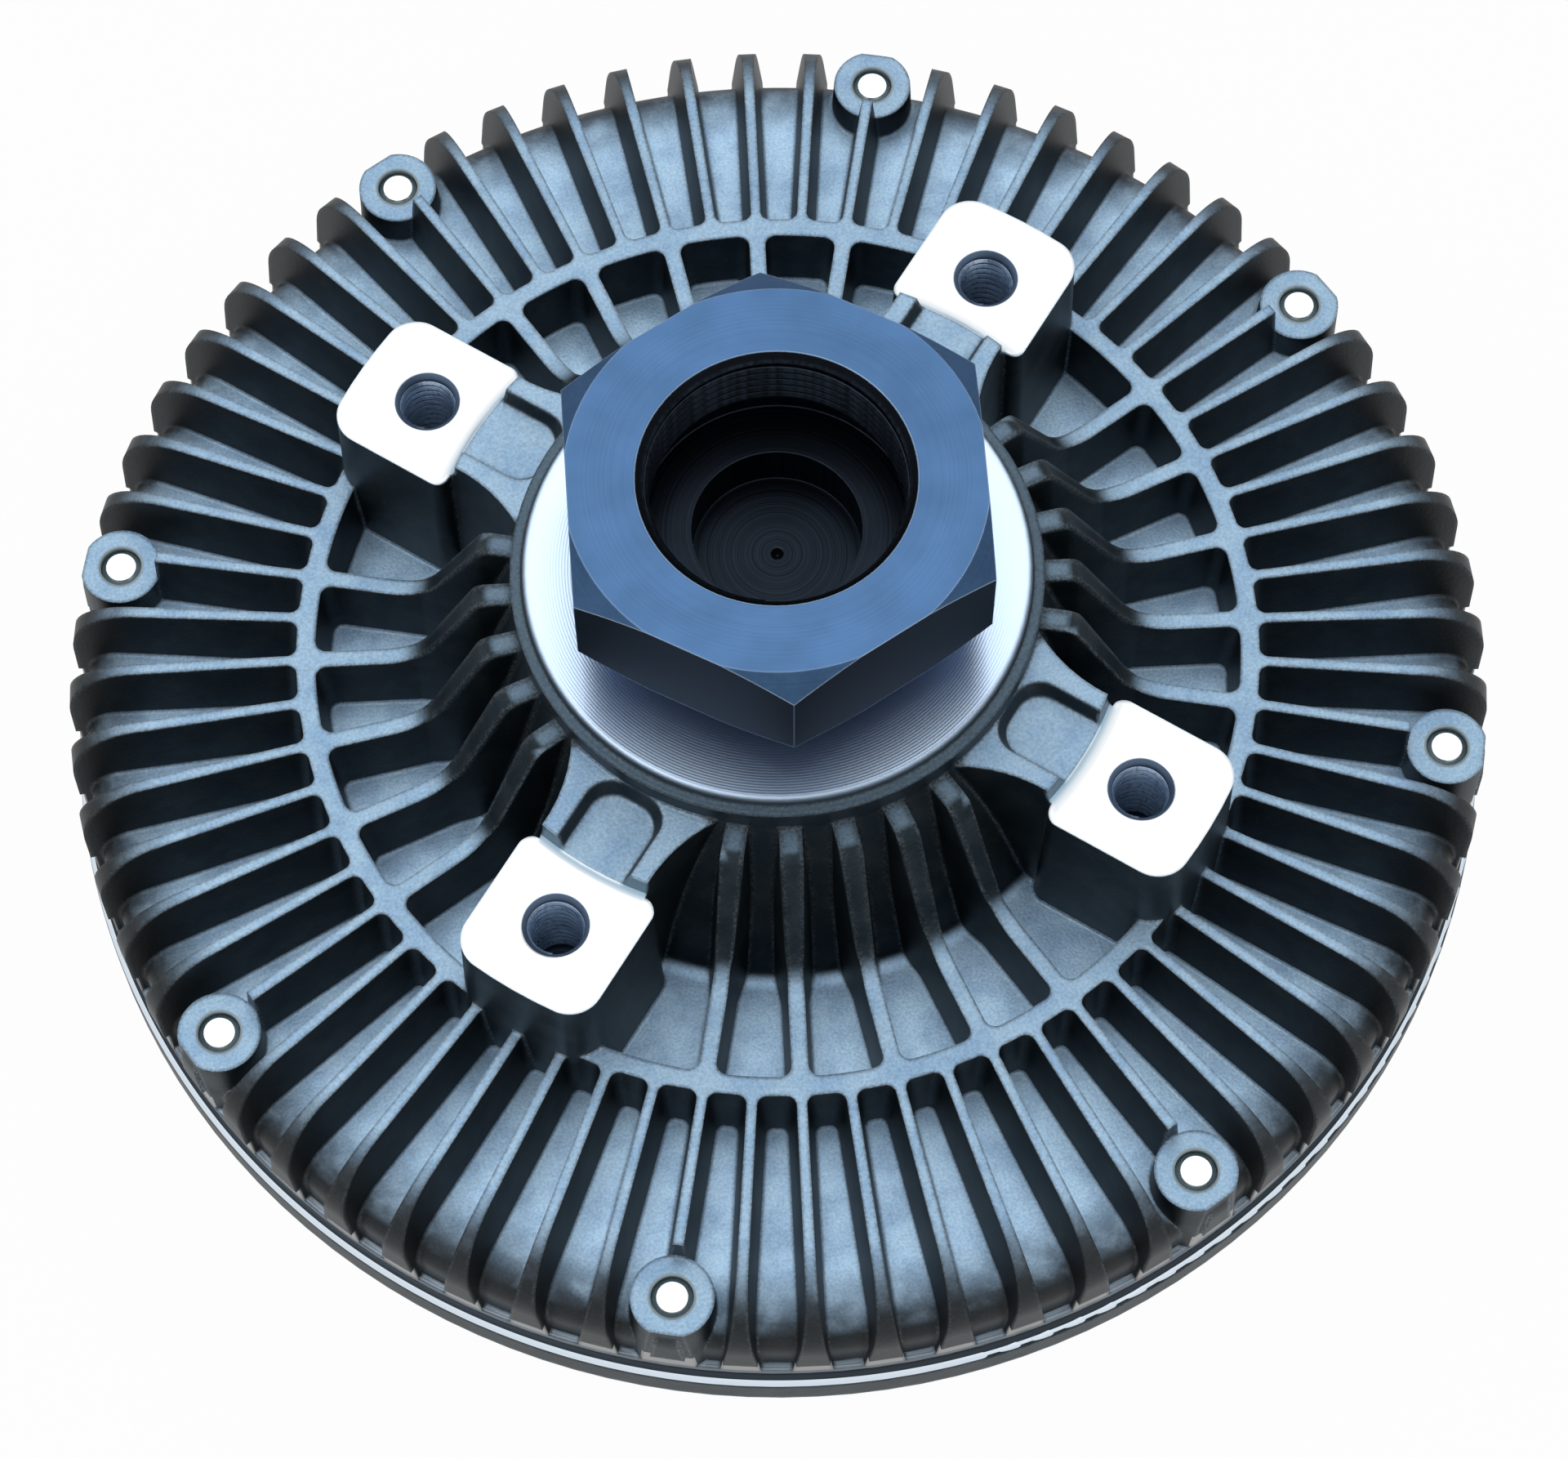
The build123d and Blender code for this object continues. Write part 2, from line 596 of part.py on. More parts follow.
def lug():
    """Fan lug along +X: block under the pad, and an arm with two rails that runs in to the hub."""
    rail_z = PAD_Z + RAIL_ABOVE_PAD
    block_z = PAD_Z + POCKET_ABOVE_PAD
    foot_z = FLOOR_Z - HOUSING_WALL / 2
    length = PAD_OUTER_R - PAD_INNER_X
    block_face = Pos(PAD_INNER_X + length / 2, 0) * Rectangle(length, 2 * PAD_HALF_W)
    block_face = block_face & Circle(PAD_OUTER_R)
    block_face = fillet(block_face.vertices().sort_by(Axis.X)[2:], PAD_CORNER)
    block_face = fillet(block_face.vertices().sort_by(Axis.X)[:2], PAD_INNER_CORNER)
    block = drafted(block_face, block_z, block_z - foot_z, LUG_DRAFT)

    arm_end_x = PAD_INNER_X + PAD_CORNER
    spread = (rail_z - foot_z) * math.tan(math.radians(LUG_DRAFT))
    foot = Pos(0, 0, foot_z) * arm_outline(arm_end_x, spread)
    top = Pos(0, 0, rail_z) * arm_outline(arm_end_x, 0)
    arm = loft([foot, top], ruled=True)

    low_mouth = Pos(0, 0, block_z) * pocket_outline(arm_end_x + 1, 0)
    high_mouth = Pos(0, 0, rail_z) * pocket_outline(arm_end_x + 1, POCKET_SLOPE)
    return block + (arm - loft([low_mouth, high_mouth], ruled=True))


def fan_lugs():
    """The four lugs, faced and shouldered in the lathe and drilled for the fan's screws."""
    facing = turned(
        [
            (PILOT_R, PAD_Z),
            (PAD_OUTER_R + 5, PAD_Z),
            (PAD_OUTER_R + 5, PAD_Z + RAIL_ABOVE_PAD + 1),
            (PILOT_R, PAD_Z + RAIL_ABOVE_PAD + 1),
        ],
        {0: PILOT_FILLET},
    )
    hole = peg(FAN_THREAD_MINOR_R, PAD_Z - FAN_THREAD_DEPTH, PAD_Z)
    mouth_r = FAN_THREAD_MINOR_R + FAN_HOLE_CHAMFER
    mouth = Cone(FAN_THREAD_MINOR_R, mouth_r, FAN_HOLE_CHAMFER)
    hole += Pos(0, 0, PAD_Z - FAN_HOLE_CHAMFER / 2) * mouth
    lugs = Part() + around(lug(), BAY_COUNT, LUG_PHASE)
    lugs -= facing
    return lugs - around(Pos(LUG_CIRCLE_R, 0, 0) * hole, BAY_COUNT, LUG_PHASE)


def screw_bosses():
    """Round bosses on the rim, with draft, turned off flush with the fins' feet."""
    foot_z = SEAM_Z + LIP_RISE + LIP_H / 2
    boss = drafted(Circle(SCREW_BOSS_R), SCREW_BOSS_Z, SCREW_BOSS_Z - foot_z, SCREW_BOSS_DRAFT)
    bosses = Part() + around(Pos(SCREW_CIRCLE_R, 0, 0) * boss, SCREW_COUNT, SCREW_PHASE)
    return bosses & peg(TURNED_R, SEAM_Z, SCREW_BOSS_Z)


def finned_housing():
    """The finned housing, one casting with its machined faces."""
    housing = housing_core() + [fin_ring(), cooling_fins(), screw_bosses(), fan_lugs()] + hub_ribs()
    hole_r = SCREW_R + SCREW_THREAD_CLEARANCE
    hole = peg(hole_r, SEAM_Z - 1, SCREW_BOSS_Z + 1)
    hole += Pos(0, 0, SCREW_BOSS_Z) * Cone(hole_r - 0.25, hole_r + 0.25, 0.5)
    return housing - around(Pos(SCREW_CIRCLE_R, 0, 0) * hole, SCREW_COUNT, SCREW_PHASE)


# Front cover and what is fixed to it


def seal_groove_bounds():
    """Radii and lowest level of the groove for the seal ring in the cover's joint face."""
    return SEAL_GROOVE_R, SEAL_GROOVE_R + SEAL_GROOVE_W, SEAM_Z - SEAL_GROOVE_DEPTH


def stop_peg_angles():
    """Angles of the two pegs that stop the valve arm at its ends."""
    reach = ARM_W / 2 + STOP_PEG_R + STOP_PEG_CLEARANCE
    swing = math.degrees(math.asin(reach / STOP_PEG_CIRCLE_R))
    return -swing, VALVE_TRAVEL + swing


def front_cover():
    """Ribbed front cover with the oil reservoir, the plate's seat and the bore of the valve shaft."""
    bore_r = VALVE_SHAFT_R + VALVE_SHAFT_CLEARANCE
    seat_r = SEPARATOR_R + SEPARATOR_SEAT_CLEARANCE
    plate_top_z = SEPARATOR_Z + SEPARATOR_T
    flange_z = SEAM_Z - COVER_FLANGE_T
    groove_in, groove_out, groove_z = seal_groove_bounds()
    outline = [
        (bore_r, COVER_OUTSIDE_Z - VALVE_BOSS_H),
        (VALVE_BOSS_R, COVER_OUTSIDE_Z - VALVE_BOSS_H),
        (VALVE_BOSS_R, COVER_OUTSIDE_Z),
        (COVER_OUTSIDE_R - COVER_CORNER, COVER_OUTSIDE_Z),
        (COVER_OUTSIDE_R, COVER_OUTSIDE_Z + COVER_CORNER),
        (COVER_OUTSIDE_R, flange_z),
        (COVER_R, flange_z),
        (COVER_R, SEAM_Z - GROOVE_H),
        (GROOVE_R, SEAM_Z - GROOVE_H),
        (GROOVE_R, SEAM_Z),
        (groove_out, SEAM_Z),
        (groove_out, groove_z),
        (groove_in, groove_z),
        (groove_in, SEAM_Z),
        (CHAMBER_R, SEAM_Z),
        (CHAMBER_R, plate_top_z),
        (seat_r, plate_top_z),
        (seat_r, SEPARATOR_Z),
        (RESERVOIR_R, SEPARATOR_Z),
        (RESERVOIR_R, RESERVOIR_Z),
        (VALVE_BOSS_R, RESERVOIR_Z),
        (VALVE_BOSS_R, RESERVOIR_Z + VALVE_BOSS_INNER_H),
        (bore_r, RESERVOIR_Z + VALVE_BOSS_INNER_H),
    ]
    cover = turned(outline, {7: BEAD_CORNER})
    rib_outline = [
        (COVER_RIB_INNER_R, COVER_OUTSIDE_Z + COVER_WALL / 4),
        (COVER_RIB_INNER_R + COVER_RIB_LEAN, 0),
        (COVER_RIB_OUTER_R, 0),
        (COVER_RIB_OUTER_R, COVER_OUTSIDE_Z + COVER_WALL / 4),
    ]
    cover += around(plate(rib_outline, COVER_RIB_T, {2: COVER_RIB_CORNER}), COVER_RIB_COUNT)
    stop = Pos(STOP_PEG_CIRCLE_R, 0, 0) * peg(
        STOP_PEG_R, RESERVOIR_Z - COVER_WALL / 4, SEPARATOR_Z - ARM_GAP
    )
    cover += [Rot(0, 0, angle) * stop for angle in stop_peg_angles()]
    screw_hole = peg(SCREW_R + SCREW_HOLE_CLEARANCE, flange_z, SEAM_Z)
    rivet_hole = peg(RIVET_R, SEPARATOR_Z + SEPARATOR_T - RIVET_LENGTH, SEPARATOR_Z)
    cover -= around(Pos(SCREW_CIRCLE_R, 0, 0) * screw_hole, SCREW_COUNT, SCREW_PHASE)
    cover -= around(Pos(RIVET_CIRCLE_R, 0, 0) * rivet_hole, RIVET_COUNT, RIVET_PHASE)
    stem_hole = peg(ANCHOR_STEM_R, COVER_OUTSIDE_Z, COVER_OUTSIDE_Z + ANCHOR_STEM_L)
    return cover - Pos(COIL_END_X, ANCHOR_OFFSET, 0) * stem_hole


def cover_screws():
    """Socket-head screws, put in from the cover's side with their tips showing in the bosses."""
    head_top_z = SEAM_Z - COVER_FLANGE_T
    head_z = head_top_z - SCREW_HEAD_H
    tip_z = SCREW_BOSS_Z - SCREW_TIP_BELOW_BOSS
    screw = turned(
        [
            (0, head_z),
            (SCREW_HEAD_R - SCREW_HEAD_EDGE, head_z),
            (SCREW_HEAD_R, head_z + SCREW_HEAD_EDGE),
            (SCREW_HEAD_R, head_top_z),
            (SCREW_R, head_top_z),
            (SCREW_R, tip_z - SCREW_TIP_CHAMFER),
            (SCREW_R - SCREW_TIP_CHAMFER, tip_z),
            (0, tip_z),
        ]
    )
    socket = RegularPolygon(SCREW_SOCKET_AF / 2, 6, major_radius=False)
    screw -= Pos(0, 0, head_z) * extrude(socket, SCREW_SOCKET_DEPTH)
    return Compound(children=around(Pos(SCREW_CIRCLE_R, 0, 0) * screw, SCREW_COUNT, SCREW_PHASE))


def cover_seal_ring():
    """Square-section seal ring in the cover's groove."""
    inner_r, outer_r, low_z = seal_groove_bounds()
    return ring(inner_r, outer_r, low_z, SEAM_Z)


def separator_plate():
    """Plate between reservoir and working chamber, with its feed, return and rivet holes."""
    top_z = SEPARATOR_Z + SEPARATOR_T
    sheet = peg(SEPARATOR_R, SEPARATOR_Z, top_z)
    sheet -= Pos(FEED_HOLE_CIRCLE_R, 0, 0) * peg(FEED_HOLE_R, SEPARATOR_Z, top_z)
    return_hole = Pos(RETURN_HOLE_CIRCLE_R, 0, 0) * peg(RETURN_HOLE_R, SEPARATOR_Z, top_z)
    sheet -= Rot(0, 0, RETURN_HOLE_ANGLE) * return_hole
    rivet_hole = Pos(RIVET_CIRCLE_R, 0, 0) * peg(RIVET_R, SEPARATOR_Z, top_z)
    return sheet - around(rivet_hole, RIVET_COUNT, RIVET_PHASE)


def plate_rivets():
    """Rivets that hold the separator plate in the cover."""
    top_z = SEPARATOR_Z + SEPARATOR_T
    rivet = turned(
        [
            (0, top_z - RIVET_LENGTH),
            (RIVET_R, top_z - RIVET_LENGTH),
            (RIVET_R, top_z),
            (RIVET_HEAD_R, top_z),
            (RIVET_HEAD_R, top_z + RIVET_HEAD_H),
            (0, top_z + RIVET_HEAD_H),
        ]
    )
    return Compound(children=around(Pos(RIVET_CIRCLE_R, 0, 0) * rivet, RIVET_COUNT, RIVET_PHASE))


# Bearing and its retaining rings


def race():
    """Ball groove of the bearing as a cutting torus."""
    return Pos(0, 0, BEARING_MID_Z) * Torus(BALL_PITCH_R, BALL_R + RACE_CLEARANCE)


def bearing_outer_ring():
    """Outer ring with its race and the steps that hold the seals."""
    step = SEAL_INSET + SEAL_T
    outline = [
        (SEAL_SEAT_R, BEARING_Z),
        (BEARING_OUTER_R - BEARING_EDGE, BEARING_Z),
        (BEARING_OUTER_R, BEARING_Z + BEARING_EDGE),
        (BEARING_OUTER_R, BEARING_TOP_Z - BEARING_EDGE),
        (BEARING_OUTER_R - BEARING_EDGE, BEARING_TOP_Z),
        (SEAL_SEAT_R, BEARING_TOP_Z),
        (SEAL_SEAT_R, BEARING_TOP_Z - step),
        (OUTER_RING_R, BEARING_TOP_Z - step),
        (OUTER_RING_R, BEARING_Z + step),
        (SEAL_SEAT_R, BEARING_Z + step),
    ]
    return turned(outline) - race()


def bearing_inner_ring():
    """Inner ring with its race."""
    outline = [
        (BEARING_BORE_R, BEARING_Z + BEARING_EDGE),
        (BEARING_BORE_R + BEARING_EDGE, BEARING_Z),
        (INNER_RING_R, BEARING_Z),
        (INNER_RING_R, BEARING_TOP_Z),
        (BEARING_BORE_R + BEARING_EDGE, BEARING_TOP_Z),
        (BEARING_BORE_R, BEARING_TOP_Z - BEARING_EDGE),
    ]
    return turned(outline) - race()


def bearing_balls():
    """One row of balls."""
    ball = Pos(BALL_PITCH_R, 0, BEARING_MID_Z) * Sphere(BALL_R)
    return Compound(children=around(ball, BALL_COUNT))


def bearing_cage():
    """Cage ring with a round pocket for each ball."""
    inner_r = BALL_PITCH_R - CAGE_T / 2
    cage = ring(inner_r, inner_r + CAGE_T, BEARING_MID_Z - CAGE_HALF_H, BEARING_MID_Z + CAGE_HALF_H)
    drill = Pos(BALL_PITCH_R, 0, BEARING_MID_Z) * (
        Rot(0, 90, 0) * Cylinder(BALL_R + CAGE_POCKET_GAP, 2 * CAGE_T)
    )
    return cage - around(drill, BALL_COUNT)


def bearing_seal(low_z):
    """Seal disc in the outer ring, just clear of the inner ring."""
    return ring(INNER_RING_R + SEAL_LIP_GAP, SEAL_SEAT_R, low_z, low_z + SEAL_T)


def snap_ring(groove_r, side, low_z):
    """Open retaining ring with two plier ears; side is 1 when it springs outwards and -1 inwards."""
    free_r = groove_r - side * SNAP_RING_W
    inner_r, outer_r = sorted((groove_r, free_r))
    ear_r = free_r - side * SNAP_EAR_OUT
    half_gap = SNAP_GAP_DEG / 2
    ear_angle = half_gap + math.degrees(SNAP_EAR_R / ear_r)
    reach = 2 * outer_r
    edge = (reach * math.cos(math.radians(half_gap)), reach * math.sin(math.radians(half_gap)))
    opening = make_face(Polyline((0, 0), edge, (edge[0], -edge[1]), close=True))
    flat = Circle(outer_r) - Circle(inner_r) - opening
    for angle in (-ear_angle, ear_angle):
        ear = Rot(0, 0, angle) * Pos(ear_r, 0)
        flat += ear * Circle(SNAP_EAR_R)
        flat -= ear * Circle(SNAP_EAR_HOLE_R)
    return Pos(0, 0, low_z) * extrude(flat, SNAP_RING_T)


def bearing_retaining_ring():
    """Ring in the housing's groove, under the outer ring."""
    return snap_ring(BEARING_OUTER_R + HOUSING_GROOVE_DEPTH, 1, BEARING_Z - SNAP_RING_T)


def shaft_retaining_ring():
    """Ring in the shaft's groove, under the inner ring."""
    return snap_ring(BEARING_BORE_R - SHAFT_GROOVE_DEPTH, -1, BEARING_Z - SNAP_RING_T)


# Input shaft and rotor


def rotor_seat_z():
    """Level of the rotor's lower hub face, where its retaining ring lies."""
    return ROTOR_Z + ROTOR_RECESS_H


def rotor():
    """Driving disc with annular lands that run between those of the housing."""
    hub_top_z = BEARING_Z - ROTOR_HUB_BELOW_BEARING
    land_top_z = CEILING_Z - AXIAL_GAP
    outline = [
        (STUB_R, rotor_seat_z()),
        (ROTOR_RECESS_R, rotor_seat_z()),
        (ROTOR_RECESS_R, ROTOR_Z),
        (ROTOR_R, ROTOR_Z),
        (ROTOR_R, SEAM_Z),
    ]
    for k in reversed(range(LAND_COUNT)):
        land_r = LAND_INNER_R + (LAND_T + LAND_GAP) * (2 * k + 1)
        outline += [
            (land_r + LAND_T, SEAM_Z),
            (land_r + LAND_T, land_top_z),
            (land_r, land_top_z),
            (land_r, SEAM_Z),
        ]
    outline += [(ROTOR_HUB_R, SEAM_Z), (ROTOR_HUB_R, hub_top_z), (STUB_R, hub_top_z)]
    hole = Pos(ROTOR_HOLE_CIRCLE_R, 0, 0) * peg(ROTOR_HOLE_R, ROTOR_Z, SEAM_Z)
    return turned(outline) - around(hole, ROTOR_HOLE_COUNT)


def rotor_retaining_ring():
    """Ring on the end of the shaft, under the rotor's hub."""
    return snap_ring(STUB_R - SHAFT_GROOVE_DEPTH, -1, rotor_seat_z() - SNAP_RING_T)


def hexagon():
    """The hex of the input shaft, chamfered at both ends."""
    fall = math.tan(math.radians(HEX_CHAMFER_DEG))
    reach = HEX_AF
    drop = (reach - HEX_FACE_R) * fall
    flat = RegularPolygon(HEX_AF / 2, 6, major_radius=False)
    prism = Pos(0, 0, HEX_Z) * extrude(Rot(0, 0, HEX_PHASE) * flat, HEX_H)
    bevels = turned(
        [
            (0, HEX_Z),
            (HEX_FACE_R, HEX_Z),
            (reach, HEX_Z + drop),
            (reach, SHAFT_TOP_Z - drop),
            (HEX_FACE_R, SHAFT_TOP_Z),
            (0, SHAFT_TOP_Z),
        ]
    )
    return prism & bevels


def input_shaft():
    """Hex, neck, bearing seat and rotor stub in one turned piece, with the blind pump bore."""
    groove_r = BEARING_BORE_R - SHAFT_GROOVE_DEPTH
    end_groove_r = STUB_R - SHAFT_GROOVE_DEPTH
    rotor_top_z = BEARING_Z - ROTOR_HUB_BELOW_BEARING
    end_z = SEPARATOR_Z + SEPARATOR_T + STUB_END_GAP
    body = turned(
        [
            (0, HEX_Z),
            (NECK_R, HEX_Z),
            (NECK_R, BEARING_TOP_Z + SHOULDER_H),
            (SHOULDER_R, BEARING_TOP_Z + SHOULDER_H),
            (SHOULDER_R, BEARING_TOP_Z),
            (BEARING_BORE_R, BEARING_TOP_Z),
            (BEARING_BORE_R, BEARING_Z),
            (groove_r, BEARING_Z),
            (groove_r, BEARING_Z - SNAP_RING_T),
            (BEARING_BORE_R, BEARING_Z - SNAP_RING_T),
            (BEARING_BORE_R, rotor_top_z),
            (STUB_R, rotor_top_z),
            (STUB_R, rotor_seat_z()),
            (end_groove_r, rotor_seat_z()),
            (end_groove_r, rotor_seat_z() - SNAP_RING_T),
            (STUB_R, rotor_seat_z() - SNAP_RING_T),
            (STUB_R, end_z),
            (0, end_z),
        ]
    )
    step_z = SHAFT_TOP_Z - BORE_DEPTH
    blind_z = step_z - PILOT_HOLE_DEPTH
    bore = turned(
        [
            (0, blind_z - CENTRE_DIMPLE_R),
            (CENTRE_DIMPLE_R, blind_z),
            (PILOT_HOLE_R, blind_z),
            (PILOT_HOLE_R, step_z),
            (THREAD_RELIEF_R, step_z),
            (THREAD_RELIEF_R, step_z + THREAD_RELIEF_H),
            (THREAD_MINOR_R, step_z + THREAD_RELIEF_H),
            (THREAD_MINOR_R, SHAFT_TOP_Z - BORE_CHAMFER),
            (THREAD_MINOR_R + BORE_CHAMFER, SHAFT_TOP_Z),
            (0, SHAFT_TOP_Z),
        ]
    )
    return body + hexagon() - bore


# Temperature valve


def coil_slot(center_x, center_y, low_z):
    """Slot that takes a tail of the coil, open at the lower end of its post."""
    width = COIL_T + 2 * COIL_SLOT_CLEARANCE
    height = COIL_TOP_Z + COIL_SLOT_OVER - low_z
    return Pos(center_x, center_y, low_z + height / 2) * Box(width, 4 * VALVE_SHAFT_R, height)


def valve_shaft():
    """Shaft through the cover, slotted for the coil and stepped for the arm."""
    groove_r = VALVE_SHAFT_R - VALVE_RING_T
    shaft = turned(
        [
            (0, VALVE_Z),
            (VALVE_SHAFT_R, VALVE_Z),
            (VALVE_SHAFT_R, VALVE_RING_Z),
            (groove_r, VALVE_RING_Z),
            (groove_r, VALVE_RING_Z + VALVE_RING_H),
            (VALVE_SHAFT_R, VALVE_RING_Z + VALVE_RING_H),
            (VALVE_SHAFT_R, ARM_Z),
            (VALVE_TANG_R, ARM_Z),
            (VALVE_TANG_R, ARM_Z + ARM_T + VALVE_END_OVER),
            (0, ARM_Z + ARM_T + VALVE_END_OVER),
        ]
    )
    return shaft - coil_slot(0, 0, VALVE_Z)


def valve_shaft_ring():
    """Seal ring in the groove of the valve shaft."""
    return ring(VALVE_SHAFT_R - VALVE_RING_T, VALVE_SHAFT_R, VALVE_RING_Z, VALVE_RING_Z + VALVE_RING_H)


def valve_arm():
    """Flat arm whose round end covers the feed hole when the valve is closed."""
    flat = Circle(ARM_HUB_R) + Pos(FEED_HOLE_CIRCLE_R / 2, 0) * Rectangle(FEED_HOLE_CIRCLE_R, ARM_W)
    flat += Pos(FEED_HOLE_CIRCLE_R, 0) * Circle(ARM_PAD_R)
    flat -= Circle(VALVE_TANG_R)
    return Pos(0, 0, ARM_Z) * extrude(flat, ARM_T)


def coil_side(side):
    """One side of the coil strip, from its tail in the shaft to its tail in the post."""
    shift = side * COIL_T / 2
    bend_r = COIL_START_R / 2
    inner_x = COIL_START_R + shift
    tail_y = -COIL_TAIL_DROP
    edges = [
        Line((-shift, COIL_TAIL_REACH), (-shift, tail_y)),
        ThreePointArc((-shift, tail_y), (bend_r, tail_y - bend_r - shift), (inner_x, tail_y)),
        Line((inner_x, tail_y), (inner_x, 0)),
    ]
    for half_turn in range(2 * COIL_TURNS):
        facing = 1 if half_turn % 2 == 0 else -1
        center_x = -facing * COIL_PITCH / 4
        radius = COIL_START_R + COIL_PITCH / 4 + COIL_PITCH / 2 * half_turn + shift
        edges.append(
            ThreePointArc(
                (center_x + facing * radius, 0),
                (center_x, facing * radius),
                (center_x - facing * radius, 0),
            )
        )
    outer_x = COIL_END_X + shift
    edges.append(Line((outer_x, 0), (outer_x, ANCHOR_OFFSET + COIL_TAIL_REACH)))
    return edges


def bimetal_coil():
    """Spiral strip of bimetal between the valve shaft and the anchor post."""
    inner, outer = coil_side(-1), coil_side(1)
    caps = [Line(inner[0] @ 0, outer[0] @ 0), Line(inner[-1] @ 1, outer[-1] @ 1)]
    return Pos(0, 0, COIL_Z) * extrude(make_face(inner + outer + caps), COIL_H)


def coil_anchor_post():
    """Slotted post in the cover that holds the outer end of the coil."""
    post = peg(ANCHOR_R, VALVE_Z, COVER_OUTSIDE_Z)
    post += peg(ANCHOR_STEM_R, COVER_OUTSIDE_Z, COVER_OUTSIDE_Z + ANCHOR_STEM_L)
    return Pos(COIL_END_X, ANCHOR_OFFSET, 0) * (post - coil_slot(0, 0, VALVE_Z))


PIECES = {
    "finned_housing": finned_housing,
    "front_cover": front_cover,
    "cover_screws": cover_screws,
    "cover_seal_ring": cover_seal_ring,
    "separator_plate": separator_plate,
    "plate_rivets": plate_rivets,
    "bearing_outer_ring": bearing_outer_ring,
    "bearing_inner_ring": bearing_inner_ring,
    "bearing_balls": bearing_balls,
    "bearing_cage": bearing_cage,
    "bearing_seal_upper": lambda: bearing_seal(BEARING_TOP_Z - SEAL_INSET - SEAL_T),
    "bearing_seal_lower": lambda: bearing_seal(BEARING_Z + SEAL_INSET),
    "bearing_retaining_ring": bearing_retaining_ring,
    "shaft_retaining_ring": shaft_retaining_ring,
    "rotor": rotor,
    "rotor_retaining_ring": rotor_retaining_ring,
    "input_shaft": input_shaft,
    "valve_shaft": valve_shaft,
    "valve_shaft_ring": valve_shaft_ring,
    "valve_arm": valve_arm,
    "bimetal_coil": bimetal_coil,
    "coil_anchor_post": coil_anchor_post,
}


if __name__ == "__main__":
    os.makedirs("parts", exist_ok=True)
    for name, make in PIECES.items():
        export_step(make(), f"parts/{name}.step")
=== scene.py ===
"""Visual model of a viscous fan clutch: finishes, cut threads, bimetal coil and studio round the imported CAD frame."""

import logging
import math
from dataclasses import dataclass, field
from enum import Enum

import bmesh
import bpy
from mathutils import Matrix, Vector


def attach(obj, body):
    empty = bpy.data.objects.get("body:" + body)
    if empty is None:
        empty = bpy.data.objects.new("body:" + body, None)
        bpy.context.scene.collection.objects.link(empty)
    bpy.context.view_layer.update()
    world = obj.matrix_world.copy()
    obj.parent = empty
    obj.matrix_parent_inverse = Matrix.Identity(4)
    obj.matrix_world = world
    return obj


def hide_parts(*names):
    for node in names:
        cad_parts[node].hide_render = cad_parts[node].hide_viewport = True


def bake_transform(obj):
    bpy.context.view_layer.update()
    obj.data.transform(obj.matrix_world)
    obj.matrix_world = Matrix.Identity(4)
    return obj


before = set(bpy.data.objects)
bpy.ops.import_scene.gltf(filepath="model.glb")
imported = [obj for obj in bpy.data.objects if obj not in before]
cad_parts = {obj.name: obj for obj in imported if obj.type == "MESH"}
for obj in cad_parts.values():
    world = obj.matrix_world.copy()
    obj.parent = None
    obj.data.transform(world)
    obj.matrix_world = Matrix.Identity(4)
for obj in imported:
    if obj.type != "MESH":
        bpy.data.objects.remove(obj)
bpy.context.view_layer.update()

LOG = logging.getLogger("fan_clutch")
MM = 0.001

# A height or radius outside the part, for a feature that a casting doesn't have
BEYOND = 200.0
# Inputs of a Map Range node, whose ranges run from 0 to 1 unless they are set
VALUE, FROM_LOW, FROM_HIGH, TO_LOW, TO_HIGH = range(5)
# Inputs of a Mix node: the share, two numbers, and the lower and upper colour
SHARE, FIRST, SECOND, UNDER, OVER = 0, 2, 3, 6, 7
# Cosine between the true and the rounded normal, on flat metal and on the sharpest edge
FLAT_COS, SHARP_COS = 0.995, 0.88
# Rays that a Bevel node sends out
BEVEL_SAMPLES = 4
# Values between which a noise pattern mostly stays
NOISE_SPAN = {FROM_LOW: 0.3, FROM_HIGH: 0.7}
# Width over which a turned face ends, in metres
TOOL_EDGE = 0.02 * MM

Source = bpy.types.Node | bpy.types.NodeSocket | float | str


class Body(Enum):
    """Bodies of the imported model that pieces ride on."""

    CASING = "casing"
    INPUT = "input"
    BALLS = "ball_train"
    VALVE = "valve"


class Marks(Enum):
    """Direction of the tool marks on a machined face."""

    ROUND = "rings about the axis"
    UPRIGHT = "lines along the axis"


def linear(code: str) -> tuple[float, float, float, float]:
    """Turns an sRGB hex colour into the linear colour that sockets take.

    Args:
        code: Colour as "#rrggbb".

    Returns:
        Linear red, green and blue with an alpha of 1.
    """
    parts = [int(code[k : k + 2], 16) / 255 for k in (1, 3, 5)]
    red, green, blue = [c / 12.92 if c <= 0.04045 else ((c + 0.055) / 1.055) ** 2.4 for c in parts]
    return red, green, blue, 1.0


@dataclass(frozen=True)
class BoltCircle:
    """Equal holes that were drilled and tapped on a circle about the axis, in millimetres and degrees."""

    circle_r: float
    count: int
    phase: float
    bore_r: float
    clear_r: float
    metal: str


@dataclass(frozen=True)
class Spot:
    """Sockets with the place of the shaded point on its piece, in metres."""

    coords: bpy.types.NodeSocket
    x: bpy.types.NodeSocket
    y: bpy.types.NodeSocket
    height: bpy.types.NodeSocket
    radius: bpy.types.NodeSocket


